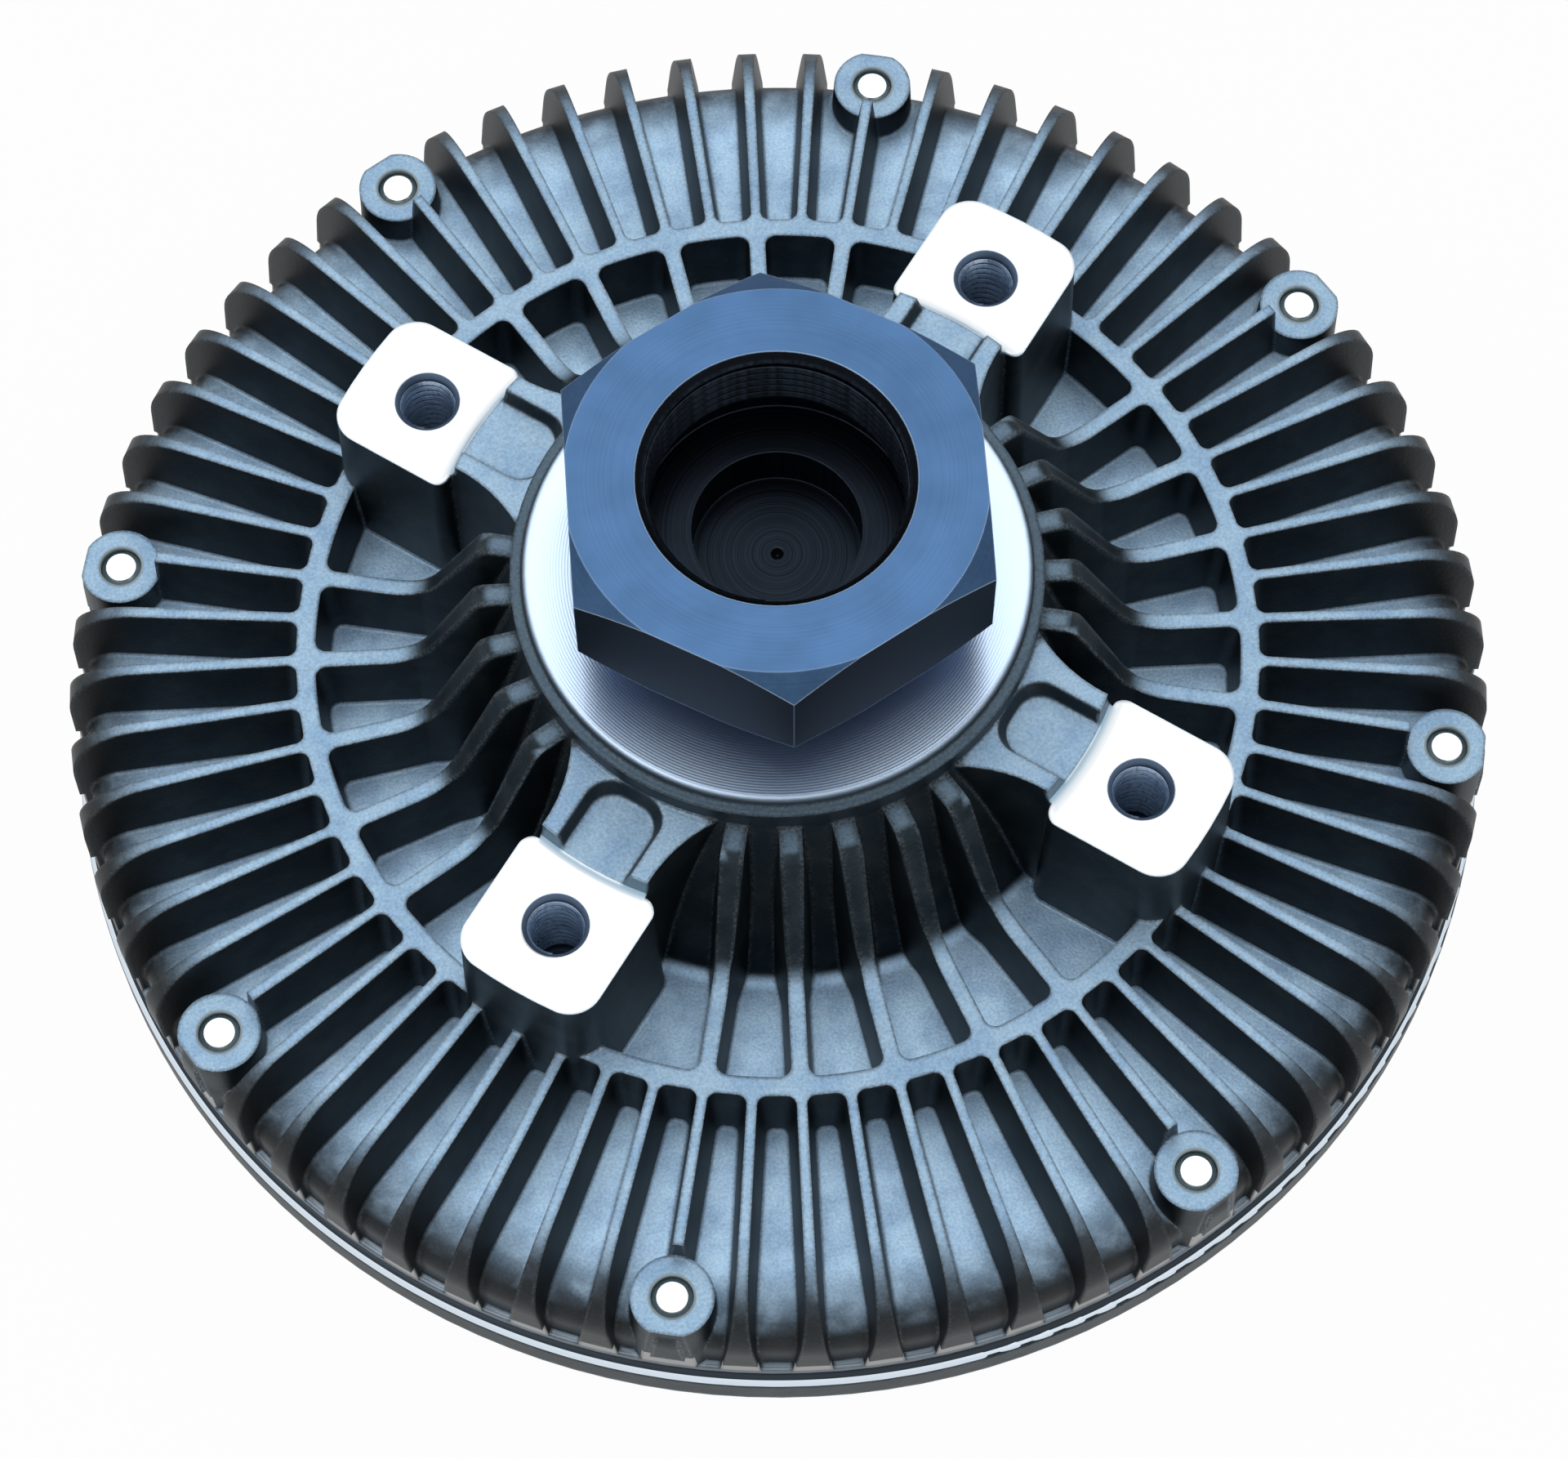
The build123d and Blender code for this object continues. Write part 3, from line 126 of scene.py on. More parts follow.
class Shading:
    """Node tree of a material or of the surroundings while it is being built."""

    def __init__(self, owner: bpy.types.Material | bpy.types.World) -> None:
        """Empties the tree of its owner.

        Args:
            owner: New material or world.
        """
        self.owner = owner
        owner.use_nodes = True
        self.tree = owner.node_tree
        self.tree.nodes.clear()

    def add(self, kind: str, links: dict[int | str, object] | None = None, **settings: object) -> bpy.types.Node:
        """Adds one node with its settings and links.

        Args:
            kind: Blender's name of the node type.
            links: Numbers, hex colours, sockets or nodes for the inputs, by number or name.
            **settings: Properties of the node.

        Returns:
            The new node.
        """
        node = self.tree.nodes.new(kind)
        for key, value in settings.items():
            setattr(node, key, value)
        for key, value in (links or {}).items():
            if isinstance(value, bpy.types.Node):
                value = value.outputs[0]
            if isinstance(value, bpy.types.NodeSocket):
                self.tree.links.new(value, node.inputs[key])
            else:
                node.inputs[key].default_value = linear(value) if isinstance(value, str) else value
        return node

    def place(self) -> Spot:
        """Adds the place of the shaded point on the piece.

        Returns:
            Its coordinates, height and distance from the axis.
        """
        coords = self.add("ShaderNodeTexCoord").outputs["Object"]
        split = self.add("ShaderNodeSeparateXYZ", {0: coords})
        x, y, height = split.outputs
        flat = self.add("ShaderNodeCombineXYZ", {0: x, 1: y})
        radius = self.add("ShaderNodeVectorMath", {0: flat}, operation="LENGTH").outputs["Value"]
        return Spot(coords, x, y, height, radius)

    def paint(self, base: Source, *coats: tuple[Source, Source]) -> bpy.types.NodeSocket:
        """Lays coats of colour over a base, each where its mask says.

        Args:
            base: Colour under the coats.
            *coats: Mask and colour of each coat, from the lowest to the top one.

        Returns:
            Socket with the finished colour.
        """
        for mask, colour in coats:
            base = self.add("ShaderNodeMix", {SHARE: mask, UNDER: base, OVER: colour}, data_type="RGBA").outputs[2]
        return base

    def where_all(self, first: Source, *others: Source) -> Source:
        """Joins masks into one that is 1 only where all of them are.

        Args:
            first: A mask.
            *others: More masks.

        Returns:
            The joined mask.
        """
        for mask in others:
            first = self.add("ShaderNodeMath", {0: first, 1: mask}, operation="MULTIPLY")
        return first

    def between(self, value: Source, low: float, high: float, soft: float) -> Source:
        """Adds a mask that is 1 between two bounds.

        Args:
            value: The measured value.
            low: Lower bound.
            high: Upper bound.
            soft: Width of the fade inside each bound.

        Returns:
            The mask.
        """
        rise = self.add("ShaderNodeMapRange", {VALUE: value, FROM_LOW: low, FROM_HIGH: low + soft})
        fall = self.add(
            "ShaderNodeMapRange", {VALUE: value, FROM_LOW: high - soft, FROM_HIGH: high, TO_LOW: 1.0, TO_HIGH: 0.0}
        )
        return self.where_all(rise, fall)

    def edges(self, radius: Source) -> tuple[Source, Source]:
        """Adds rounded edges to the shading, and a mask of them.

        Args:
            radius: Radius of the rounding in metres.

        Returns:
            The rounded normal, and the mask that is 1 on sharp edges.
        """
        rounded = self.add("ShaderNodeBevel", {"Radius": radius}, samples=BEVEL_SAMPLES)
        true = self.add("ShaderNodeNewGeometry").outputs["Normal"]
        same = self.add("ShaderNodeVectorMath", {0: rounded, 1: true}, operation="DOT_PRODUCT").outputs["Value"]
        mask = self.add("ShaderNodeMapRange", {VALUE: same, FROM_LOW: FLAT_COS, FROM_HIGH: SHARP_COS})
        return rounded, mask

    def off_centre(self, spot: Spot, circle: BoltCircle) -> bpy.types.NodeSocket:
        """Adds the distance from the nearest hole of a bolt circle.

        Args:
            spot: Place of the shaded point.
            circle: The bolt circle.

        Returns:
            Socket with the distance in metres.
        """
        step = math.radians(360 / circle.count)
        first = math.radians(circle.phase)
        turn = self.add("ShaderNodeMath", {0: spot.y, 1: spot.x}, operation="ARCTAN2")
        turn = self.add("ShaderNodeMath", {0: turn, 1: first}, operation="SUBTRACT")
        turn = self.add("ShaderNodeMath", {0: turn, 1: step / 2, 2: -step / 2}, operation="WRAP")
        along = self.add("ShaderNodeMath", {0: turn}, operation="COSINE")
        along = self.add("ShaderNodeMath", {0: along, 1: spot.radius}, operation="MULTIPLY")
        across = self.add("ShaderNodeMath", {0: turn}, operation="SINE")
        across = self.add("ShaderNodeMath", {0: across, 1: spot.radius}, operation="MULTIPLY")
        folded = self.add("ShaderNodeCombineXYZ", {0: along, 1: across})
        centre = (circle.circle_r * MM, 0.0, 0.0)
        return self.add("ShaderNodeVectorMath", {0: folded, 1: centre}, operation="DISTANCE").outputs["Value"]

    def level(self, normal: Source, low: float, high: float) -> Source:
        """Adds a mask that is 1 on faces square to the axis and 0 on upright walls.

        Args:
            normal: Normal in world space.
            low: Share of the normal along the axis at which the mask leaves 0.
            high: Share at which it reaches 1.

        Returns:
            The mask.
        """
        own = self.add(
            "ShaderNodeVectorTransform", {0: normal}, vector_type="NORMAL", convert_from="WORLD", convert_to="OBJECT"
        )
        parts = self.add("ShaderNodeSeparateXYZ", {0: own})
        along = self.add("ShaderNodeMath", {0: parts.outputs["Z"]}, operation="ABSOLUTE")
        return self.add(
            "ShaderNodeMapRange", {VALUE: along, FROM_LOW: low, FROM_HIGH: high}, interpolation_type="SMOOTHSTEP"
        )

    def seen(self) -> Source:
        """Adds a mask of the rays by which the camera, polished metal or clear plastic sees a surface.

        Returns:
            The mask, which is 0 on rays that only carry light.
        """
        rays = self.add("ShaderNodeLightPath").outputs
        seen = rays["Is Camera Ray"]
        for kind in ("Is Glossy Ray", "Is Transmission Ray"):
            seen = self.add("ShaderNodeMath", {0: seen, 1: rays[kind]}, operation="MAXIMUM")
        return seen

    def finish(self, links: dict[str, object]) -> bpy.types.Material:
        """Ends the material with one Principled shader.

        Args:
            links: Values and sockets for the shader.

        Returns:
            The finished material.
        """
        shader = self.add("ShaderNodeBsdfPrincipled", links)
        self.add("ShaderNodeOutputMaterial", {"Surface": shader})
        return self.owner


@dataclass(frozen=True)
class TurnedZone:
    """Region of a casting that was faced or turned after casting, about the axis, in millimetres."""

    low_r: float
    high_r: float
    low_z: float
    high_z: float
    # Colour of the level turned faces, and painted shade on their upright walls
    face: str = "#f2f5f8"
    shaded_wall: str = "#8d8c8a"


@dataclass(frozen=True)
class CastAluminium:
    """Pressure die-cast aluminium as it leaves the die, with its turned faces bright.

    Faces square to the die's pull are painted as lit, a light blue-grey with a fine grain, and walls along the
    pull are painted as shaded, near black; the floor between the fins gets more painted light, the crests of the
    webs a painted highlight and the collar painted shade. Edges are rubbed lighter, the metal near the rim carries
    painted shade, and turned faces are near white with fine rings, their upright walls painted as shaded.
    """

    name: str
    slot: str
    # Walls painted as shaded with lighter clouds, tops painted as lit, the floor between the fins painted lighter
    # still, cloud and rubbed-edge colours, and painted shade near the rim
    shaded_wall: str = "#1c282f"
    wall_light: str = "#434a4f"
    lit_top: str = "#97b3ca"
    floor: str = "#c0e2ff"
    cloud: str = "#5f86b0"
    edge: str = "#c3d2de"
    rim_shade: str = "#2d3032"
    # Blasted grain, flow marks and rings of the turning tool
    grain_mm: float = 0.36
    grain_shade: tuple[float, float] = (0.86, 1.12)
    cloud_mm: float = 5.0
    cloud_span: tuple[float, float] = (0.42, 0.66)
    cloud_most: float = 0.36
    ring_mm: float = 0.35
    ring_depth: float = 0.1
    grain_depth_mm: float = 0.06
    # Share of the normal along the axis at which painted light shows on level faces and is full,
    #     # and at which the painted highlight shows on the crest of a web
    lit_span: tuple[float, float] = (0.64, 0.99)
    crest_highlight_span: tuple[float, float] = (0.98, 1.0)
    # Share of the painted light left as a painted highlight on the webs' crests, and on the collar, which is painted as
    # shaded
    crest_highlight_share: float = 0.4
    collar_lit_share: float = 0.25
    # How far edges are rubbed, between the grains and on them, and the share of that on the webs
    rub: tuple[float, float] = (0.08, 0.35)
    rub_span: tuple[float, float] = (0.42, 0.62)
    web_rub: float = 0.5
    # Rounding of the edges, and of the webs that rise to the hub
    edge_mm: float = 0.8
    web_edge_mm: float = 1.3
    # Gloss of the cast skin and of the turned faces
    cast_rough: float = 0.5
    turned_rough: float = 0.32
    cast_metallic: float = 0.8
    turned_metallic: float = 1.0
    turned_streak: float = 0.3
    zones: tuple[TurnedZone, ...] = ()
    holes: tuple[BoltCircle, ...] = ()
    # Level of the floor between the fins, and how far above it the floor's extra painted light fades out
    floor_z: float = 0.0
    floor_fade: tuple[float, float] = (0.6, 2.4)
    # The rising webs start at this height and lie inside a cone: lean times height plus radius is under its reach
    web_low_z: float = BEYOND
    web_lean: float = 0.62
    web_reach: float = 0.0
    web_fade: float = 0.8
    web_over_collar: float = 2.0
    # No web comes nearer to the centre of a lug than this
    lug_reach: float = 0.0
    lug_fade: float = 1.0
    # Foot of the collar round the hub face
    collar_z: float = BEYOND
    collar_fade: float = 0.2
    # Painted shade near the rim, patchy where the clouds are thin
    rim_shade_from_r: float = BEYOND
    rim_shade_fade: float = 6.5
    rim_shade_span: tuple[float, float] = (0.36, 0.56)
    rim_shade_least: float = 0.7
    rim_shade_most: float = 0.9
    hole_fade: float = 0.05
    clear_fade: float = 0.5

    def webs(self, shade: Shading, spot: Spot, gaps: list[bpy.types.NodeSocket]) -> Source:
        """Adds a mask of the webs that rise to the hub, which are cast with a full round on top.

        Args:
            shade: Tree of the material.
            spot: Place of the shaded point.
            gaps: Its distance from the nearest hole of each bolt circle, the lugs' first.

        Returns:
            The mask.
        """
        over = self.web_over_collar * MM
        raised = shade.between(spot.height, self.web_low_z * MM, self.collar_z * MM + over, over)
        leaning = shade.add(
            "ShaderNodeMath", {0: spot.height, 1: self.web_lean, 2: spot.radius}, operation="MULTIPLY_ADD"
        )
        reach = self.web_reach * MM
        within = shade.add(
            "ShaderNodeMapRange",
            {VALUE: leaning, FROM_LOW: reach - self.web_fade * MM, FROM_HIGH: reach, TO_LOW: 1.0, TO_HIGH: 0.0},
        )
        if not self.lug_reach:
            return shade.where_all(raised, within)
        low, high = (self.lug_reach - self.lug_fade / 2) * MM, (self.lug_reach + self.lug_fade / 2) * MM
        beside = shade.add("ShaderNodeMapRange", {VALUE: gaps[0], FROM_LOW: low, FROM_HIGH: high})
        return shade.where_all(raised, within, beside)

    def turn(self, shade: Shading, spot: Spot, level: Source, colour: Source) -> tuple[Source, Source]:
        """Lays the turned faces over the cast skin.

        Args:
            shade: Tree of the material.
            spot: Place of the shaded point.
            level: Mask of the faces square to the axis.
            colour: Colour of the cast skin.

        Returns:
            The colour with the turned faces, and their mask.
        """
        machined: Source = 0.0
        for zone in self.zones:
            here = shade.where_all(
                shade.between(spot.radius, zone.low_r * MM, zone.high_r * MM, TOOL_EDGE),
                shade.between(spot.height, zone.low_z * MM, zone.high_z * MM, TOOL_EDGE),
            )
            # Level turned faces keep their colour; upright turned walls are painted as shaded
            lit_and_shaded_turn = shade.paint(zone.shaded_wall, (level, zone.face))
            colour = shade.paint(colour, (here, lit_and_shaded_turn))
            machined = shade.add("ShaderNodeMath", {0: machined, 1: here}, operation="MAXIMUM")
        return colour, machined

    def build(self) -> bpy.types.Material:
        """Builds the material.

        Returns:
            The cast material with its turned zones and tapped holes.
        """
        shade = Shading(bpy.data.materials.new(self.name))
        spot = shade.place()
        gaps = [shade.off_centre(spot, circle) for circle in self.holes]
        webs = self.webs(shade, spot, gaps)
        soft = shade.add(
            "ShaderNodeMapRange", {VALUE: webs, TO_LOW: self.edge_mm * MM, TO_HIGH: self.web_edge_mm * MM}
        )
        rounded, worn = shade.edges(soft)
        # Level faces get painted light and upright walls painted shade
        level = shade.level(rounded, *self.lit_span)
        # Painted highlight: only the very crest of a web is light
        crest = shade.level(rounded, *self.crest_highlight_span)
        crest = shade.add("ShaderNodeMath", {0: crest, 1: self.crest_highlight_share}, operation="MULTIPLY")
        level = shade.add("ShaderNodeMix", {SHARE: webs, FIRST: level, SECOND: crest}, data_type="FLOAT")

        # Cloudy flow marks of the metal, and blasted grain
        cloud = shade.add(
            "ShaderNodeTexNoise",
            {"Vector": spot.coords, "Scale": 1 / (self.cloud_mm * MM), "Detail": 3.0, "Roughness": 0.55},
        )
        low, high = self.cloud_span
        clouded = shade.add(
            "ShaderNodeMapRange", {VALUE: cloud, FROM_LOW: low, FROM_HIGH: high, TO_HIGH: self.cloud_most}
        )
        grain = shade.add(
            "ShaderNodeTexNoise", {"Vector": spot.coords, "Scale": 1 / (self.grain_mm * MM), "Detail": 1.0}
        )
        dark, light = self.grain_shade
        value = shade.add("ShaderNodeMapRange", {VALUE: grain, **NOISE_SPAN, TO_LOW: dark, TO_HIGH: light})

        # Painted shade on the walls, painted light on the level tops, and more painted light on the floor between the
        # fins
        shaded_walls = shade.paint(self.shaded_wall, (clouded, self.wall_light))
        low, high = ((self.floor_z + fade) * MM for fade in self.floor_fade)
        floor_painted_light = shade.add(
            "ShaderNodeMapRange", {VALUE: spot.height, FROM_LOW: low, FROM_HIGH: high, TO_LOW: 1.0, TO_HIGH: 0.0}
        )
        lit_flats = shade.paint(self.lit_top, (floor_painted_light, self.floor), (clouded, self.cloud))
        # Painted shade on the collar round the hub face, which is above every web
        low, high = (self.collar_z - self.collar_fade) * MM, self.collar_z * MM
        collar_shade = shade.add(
            "ShaderNodeMapRange",
            {VALUE: spot.height, FROM_LOW: low, FROM_HIGH: high, TO_LOW: 1.0, TO_HIGH: self.collar_lit_share},
        )
        painted_top_light = shade.where_all(level, collar_shade)

        # Rubbed edges, broken up by the grain and fewer on the webs
        low, high = self.rub_span
        least, most = self.rub
        broken = shade.add(
            "ShaderNodeMapRange", {VALUE: grain, FROM_LOW: low, FROM_HIGH: high, TO_LOW: least, TO_HIGH: most}
        )
        spared = shade.add("ShaderNodeMapRange", {VALUE: webs, TO_LOW: 1.0, TO_HIGH: self.web_rub})
        rubbed = shade.where_all(worn, broken, collar_shade, spared)

        # Painted shade near the rim, except round the screws
        low, high = self.rim_shade_from_r * MM, (self.rim_shade_from_r + self.rim_shade_fade) * MM
        far = shade.add(
            "ShaderNodeMapRange", {VALUE: spot.radius, FROM_LOW: low, FROM_HIGH: high, TO_HIGH: self.rim_shade_most}
        )
        low, high = self.rim_shade_span
        patchy = shade.add(
            "ShaderNodeMapRange", {VALUE: cloud, FROM_LOW: low, FROM_HIGH: high, TO_LOW: self.rim_shade_least}
        )
        rim_shaded = shade.where_all(far, patchy)
        for gap, circle in zip(gaps, self.holes):
            low, high = circle.clear_r * MM, (circle.clear_r + self.clear_fade) * MM
            clear = shade.add("ShaderNodeMapRange", {VALUE: gap, FROM_LOW: low, FROM_HIGH: high})
            rim_shaded = shade.where_all(rim_shaded, clear)

        # The skin: painted shade and light by facing, rubbed edges, and painted shade near the rim
        skin = shade.paint(shaded_walls, (painted_top_light, lit_flats), (rubbed, self.edge), (rim_shaded, self.rim_shade))
        skin = shade.add("ShaderNodeHueSaturation", {"Color": skin, "Value": value})
        colour, machined = self.turn(shade, spot, level, skin)
        for gap, circle in zip(gaps, self.holes):
            low, high = (circle.bore_r - self.hole_fade) * MM, circle.bore_r * MM
            inside = shade.add(
                "ShaderNodeMapRange", {VALUE: gap, FROM_LOW: low, FROM_HIGH: high, TO_LOW: 1.0, TO_HIGH: 0.0}
            )
            colour = shade.paint(colour, (inside, circle.metal))

        # Rings left by the turning tool
        rings = shade.add(
            "ShaderNodeMath", {0: spot.radius, 1: 2 * math.pi / (self.ring_mm * MM)}, operation="MULTIPLY"
        )
        rings = shade.add("ShaderNodeMath", {0: rings}, operation="SINE")
        rings = shade.add("ShaderNodeMath", {0: rings, 1: self.ring_depth}, operation="MULTIPLY")
        texture = shade.add("ShaderNodeMix", {SHARE: machined, FIRST: grain, SECOND: rings}, data_type="FLOAT")
        rough = shade.add(
            "ShaderNodeMix", {SHARE: machined, FIRST: self.cast_rough, SECOND: self.turned_rough}, data_type="FLOAT"
        )
        metallic = shade.add(
            "ShaderNodeMix",
            {SHARE: machined, FIRST: self.cast_metallic, SECOND: self.turned_metallic},
            data_type="FLOAT",
        )
        streak = shade.add("ShaderNodeMath", {0: machined, 1: self.turned_streak}, operation="MULTIPLY")
        tangent = shade.add("ShaderNodeTangent", direction_type="RADIAL", axis="Z")
        bump = shade.add(
            "ShaderNodeBump",
            {"Strength": 0.4, "Distance": self.grain_depth_mm * MM, "Height": texture, "Normal": rounded},
        )
        return shade.finish(
            {
                "Base Color": colour,
                "Metallic": metallic,
                "Roughness": rough,
                "Anisotropic": streak,
                "Tangent": tangent,
                "Normal": bump,
            }
        )


@dataclass(frozen=True)
class OxideSteel:
    """Turned and milled steel with a blue oxide finish.

    The faced end is painted as lit, blue with fine rings of the lathe, the milled flats as shaded, near black with
    upright lines of the cutter, and the bore carries painted shade and is darker still. Edges are rubbed lighter.
    """

    name: str
    slot: str
    # Painted light on the faced end, painted shade on the flats and darker painted shade in the bore
    face: str = "#476890"
    flat: str = "#0b1015"
    bore_shade: str = "#181f28"
    glance: str = "#d9dfe9"
    edge: str = "#b4cbe6"
    ring_mm: float = 0.28
    cutter_mm: float = 0.625
    cutter_stretch: float = 50.0
    patch_mm: float = 6.25
    patch_shade: tuple[float, float] = (0.88, 1.08)
    mark_depth_mm: float = 0.02
    edge_mm: float = 0.25
    metallic: float = 0.9
    streak: float = 0.4
    # Share of the normal along the axis at which the faced end's painted light begins and is full
    lit_end_span: tuple[float, float] = (0.7, 1.0)
    flat_rough: float = 0.5
    face_rough: tuple[float, float] = (0.3, 0.4)
    # How strongly the tool marks and the rubbed edges show, outside and in the bore
    line_shade: tuple[float, float] = (0.14, 0.7)
    rub: tuple[float, float] = (0.9, 0.1)
    bore_r: float = 15.6
    relief_r: float = 16.6
    mouth_z: float = 88.2
    bore_fade: float = 0.2

    def inside(self, shade: Shading, spot: Spot) -> Source:
        """Adds a mask of the bore and of the relief behind its thread.

        Args:
            shade: Tree of the material.
            spot: Place of the shaded point.

        Returns:
            The mask.
        """
        fade = self.bore_fade * MM
        low, high = self.bore_r * MM - fade, self.bore_r * MM
        # Mask of the bore's painted shade
        bore_shade = shade.add(
            "ShaderNodeMapRange", {VALUE: spot.radius, FROM_LOW: low, FROM_HIGH: high, TO_LOW: 1.0, TO_HIGH: 0.0}
        )
        relief = shade.where_all(
            shade.between(spot.radius, 0.0, self.relief_r * MM, fade),
            shade.between(spot.height, 0.0, self.mouth_z * MM, fade),
        )
        return shade.add("ShaderNodeMath", {0: bore_shade, 1: relief}, operation="MAXIMUM")

    def build(self) -> bpy.types.Material:
        """Builds the material.

        Returns:
            The oxide-finished steel.
        """
        shade = Shading(bpy.data.materials.new(self.name))
        spot = shade.place()
        rounded, worn = shade.edges(self.edge_mm * MM)
        level = shade.level(rounded, *self.lit_end_span)
        inside = self.inside(shade, spot)

        # Uneven lathe rings: a noise that only changes with the distance from the axis
        along = shade.add("ShaderNodeCombineXYZ", {0: spot.radius})
        turned = shade.add("ShaderNodeTexNoise", {"Vector": along, "Scale": 1 / (self.ring_mm * MM), "Detail": 2.0})
        # Upright cutter lines: a noise stretched along the axis
        tall = shade.add("ShaderNodeMapping", {"Vector": spot.coords, "Scale": (1.0, 1.0, 1 / self.cutter_stretch)})
        milled = shade.add("ShaderNodeTexNoise", {"Vector": tall, "Scale": 1 / (self.cutter_mm * MM), "Detail": 2.0})
        marks = shade.add("ShaderNodeMix", {SHARE: level, FIRST: milled, SECOND: turned}, data_type="FLOAT")

        patch = shade.add(
            "ShaderNodeTexNoise",
            {"Vector": spot.coords, "Scale": 1 / (self.patch_mm * MM), "Detail": 2.0, "Roughness": 0.5},
        )
        dark, light = self.patch_shade
        value = shade.add("ShaderNodeMapRange", {VALUE: patch, **NOISE_SPAN, TO_LOW: dark, TO_HIGH: light})
        # The bore's rings are deeper than those of the faced end
        outside, within = self.line_shade
        deeper = shade.add("ShaderNodeMapRange", {VALUE: inside, TO_LOW: outside, TO_HIGH: within})
        line = shade.add("ShaderNodeMapRange", {VALUE: marks, **NOISE_SPAN, TO_LOW: -1.0})
        line = shade.add("ShaderNodeMath", {0: line, 1: deeper, 2: 1.0}, operation="MULTIPLY_ADD")
        value = shade.add("ShaderNodeMath", {0: value, 1: line}, operation="MULTIPLY")
        # Painted light on the faced end, painted shade on the flats and in the bore
        skin = shade.paint(self.flat, (level, self.face), (inside, self.bore_shade))
        skin = shade.add("ShaderNodeHueSaturation", {"Color": skin, "Value": value})
        outside, within = self.rub
        rub = shade.add("ShaderNodeMapRange", {VALUE: inside, TO_LOW: outside, TO_HIGH: within})
        colour = shade.paint(skin, (shade.where_all(worn, rub), self.edge))

        low, high = self.face_rough
        rings = shade.add("ShaderNodeMapRange", {VALUE: marks, **NOISE_SPAN, TO_LOW: low, TO_HIGH: high})
        rough = shade.add("ShaderNodeMix", {SHARE: level, FIRST: self.flat_rough, SECOND: rings}, data_type="FLOAT")
        tangent = shade.add("ShaderNodeTangent", direction_type="RADIAL", axis="Z")
        bump = shade.add(
            "ShaderNodeBump",
            {"Strength": 0.4, "Distance": self.mark_depth_mm * MM, "Height": marks, "Normal": rounded},
        )
        return shade.finish(
            {
                "Base Color": colour,
                "Metallic": self.metallic,
                "Roughness": rough,
                "Specular Tint": self.glance,
                "Anisotropic": self.streak,
                "Tangent": tangent,
                "Normal": bump,
            }
        )


@dataclass(frozen=True)
class WorkedMetal:
    """Bright metal with fine marks of its making, such as turned, ground, rolled or plated metal.

    The marks are shallow, so the eye sees a soft streaked sheen, and edges catch a thin line of light.
    """

    name: str
    slot: str
    colour: str
    shadow: str
    roughness: float = 0.3
    marks: Marks = Marks.ROUND
    mark_mm: float = 0.4
    upright_stretch: float = 20.0
    cloud_mm: float = 4.55
    shadow_span: tuple[float, float] = (0.15, 0.36)
    shadow_most: float = 0.55
    rough_spread: tuple[float, float] = (0.8, 1.25)
    edge_mm: float = 0.15
    metallic: float = 1.0
    depth_mm: float = 0.02
    # Painted shade: darker colour of upright walls, if they have one
    flank: str | None = None
    flank_span: tuple[float, float] = (0.8, 0.98)

    def build(self) -> bpy.types.Material:
        """Builds the material.

        Returns:
            The bright metal.
        """
        shade = Shading(bpy.data.materials.new(self.name))
        spot = shade.place()
        rounded = shade.add("ShaderNodeBevel", {"Radius": self.edge_mm * MM}, samples=BEVEL_SAMPLES)
        if self.marks is Marks.ROUND:
            along = shade.add("ShaderNodeCombineXYZ", {0: spot.radius, 1: spot.height})
        else:
            stretch = (1.0, 1.0, 1 / self.upright_stretch)
            along = shade.add("ShaderNodeMapping", {"Vector": spot.coords, "Scale": stretch})
        streaks = shade.add("ShaderNodeTexNoise", {"Vector": along, "Scale": 1 / (self.mark_mm * MM), "Detail": 2.0})
        cloud = shade.add(
            "ShaderNodeTexNoise", {"Vector": spot.coords, "Scale": 1 / (self.cloud_mm * MM), "Detail": 3.0}
        )
        mixed = shade.add("ShaderNodeMath", {0: streaks, 1: cloud}, operation="MULTIPLY")
        low, high = self.shadow_span
        dull = shade.add(
            "ShaderNodeMapRange",
            {VALUE: mixed, FROM_LOW: low, FROM_HIGH: high, TO_LOW: self.shadow_most, TO_HIGH: 0.0},
        )
        colour = shade.paint(self.colour, (dull, self.shadow))
        if self.flank:
            # Painted shade on the upright walls
            colour = shade.paint(self.flank, (shade.level(rounded, *self.flank_span), colour))
        low, high = (self.roughness * share for share in self.rough_spread)
        rough = shade.add("ShaderNodeMapRange", {VALUE: streaks, **NOISE_SPAN, TO_LOW: low, TO_HIGH: high})
        bump = shade.add(
            "ShaderNodeBump", {"Strength": 0.5, "Distance": self.depth_mm * MM, "Height": streaks, "Normal": rounded}
        )
        return shade.finish({"Base Color": colour, "Metallic": self.metallic, "Roughness": rough, "Normal": bump})


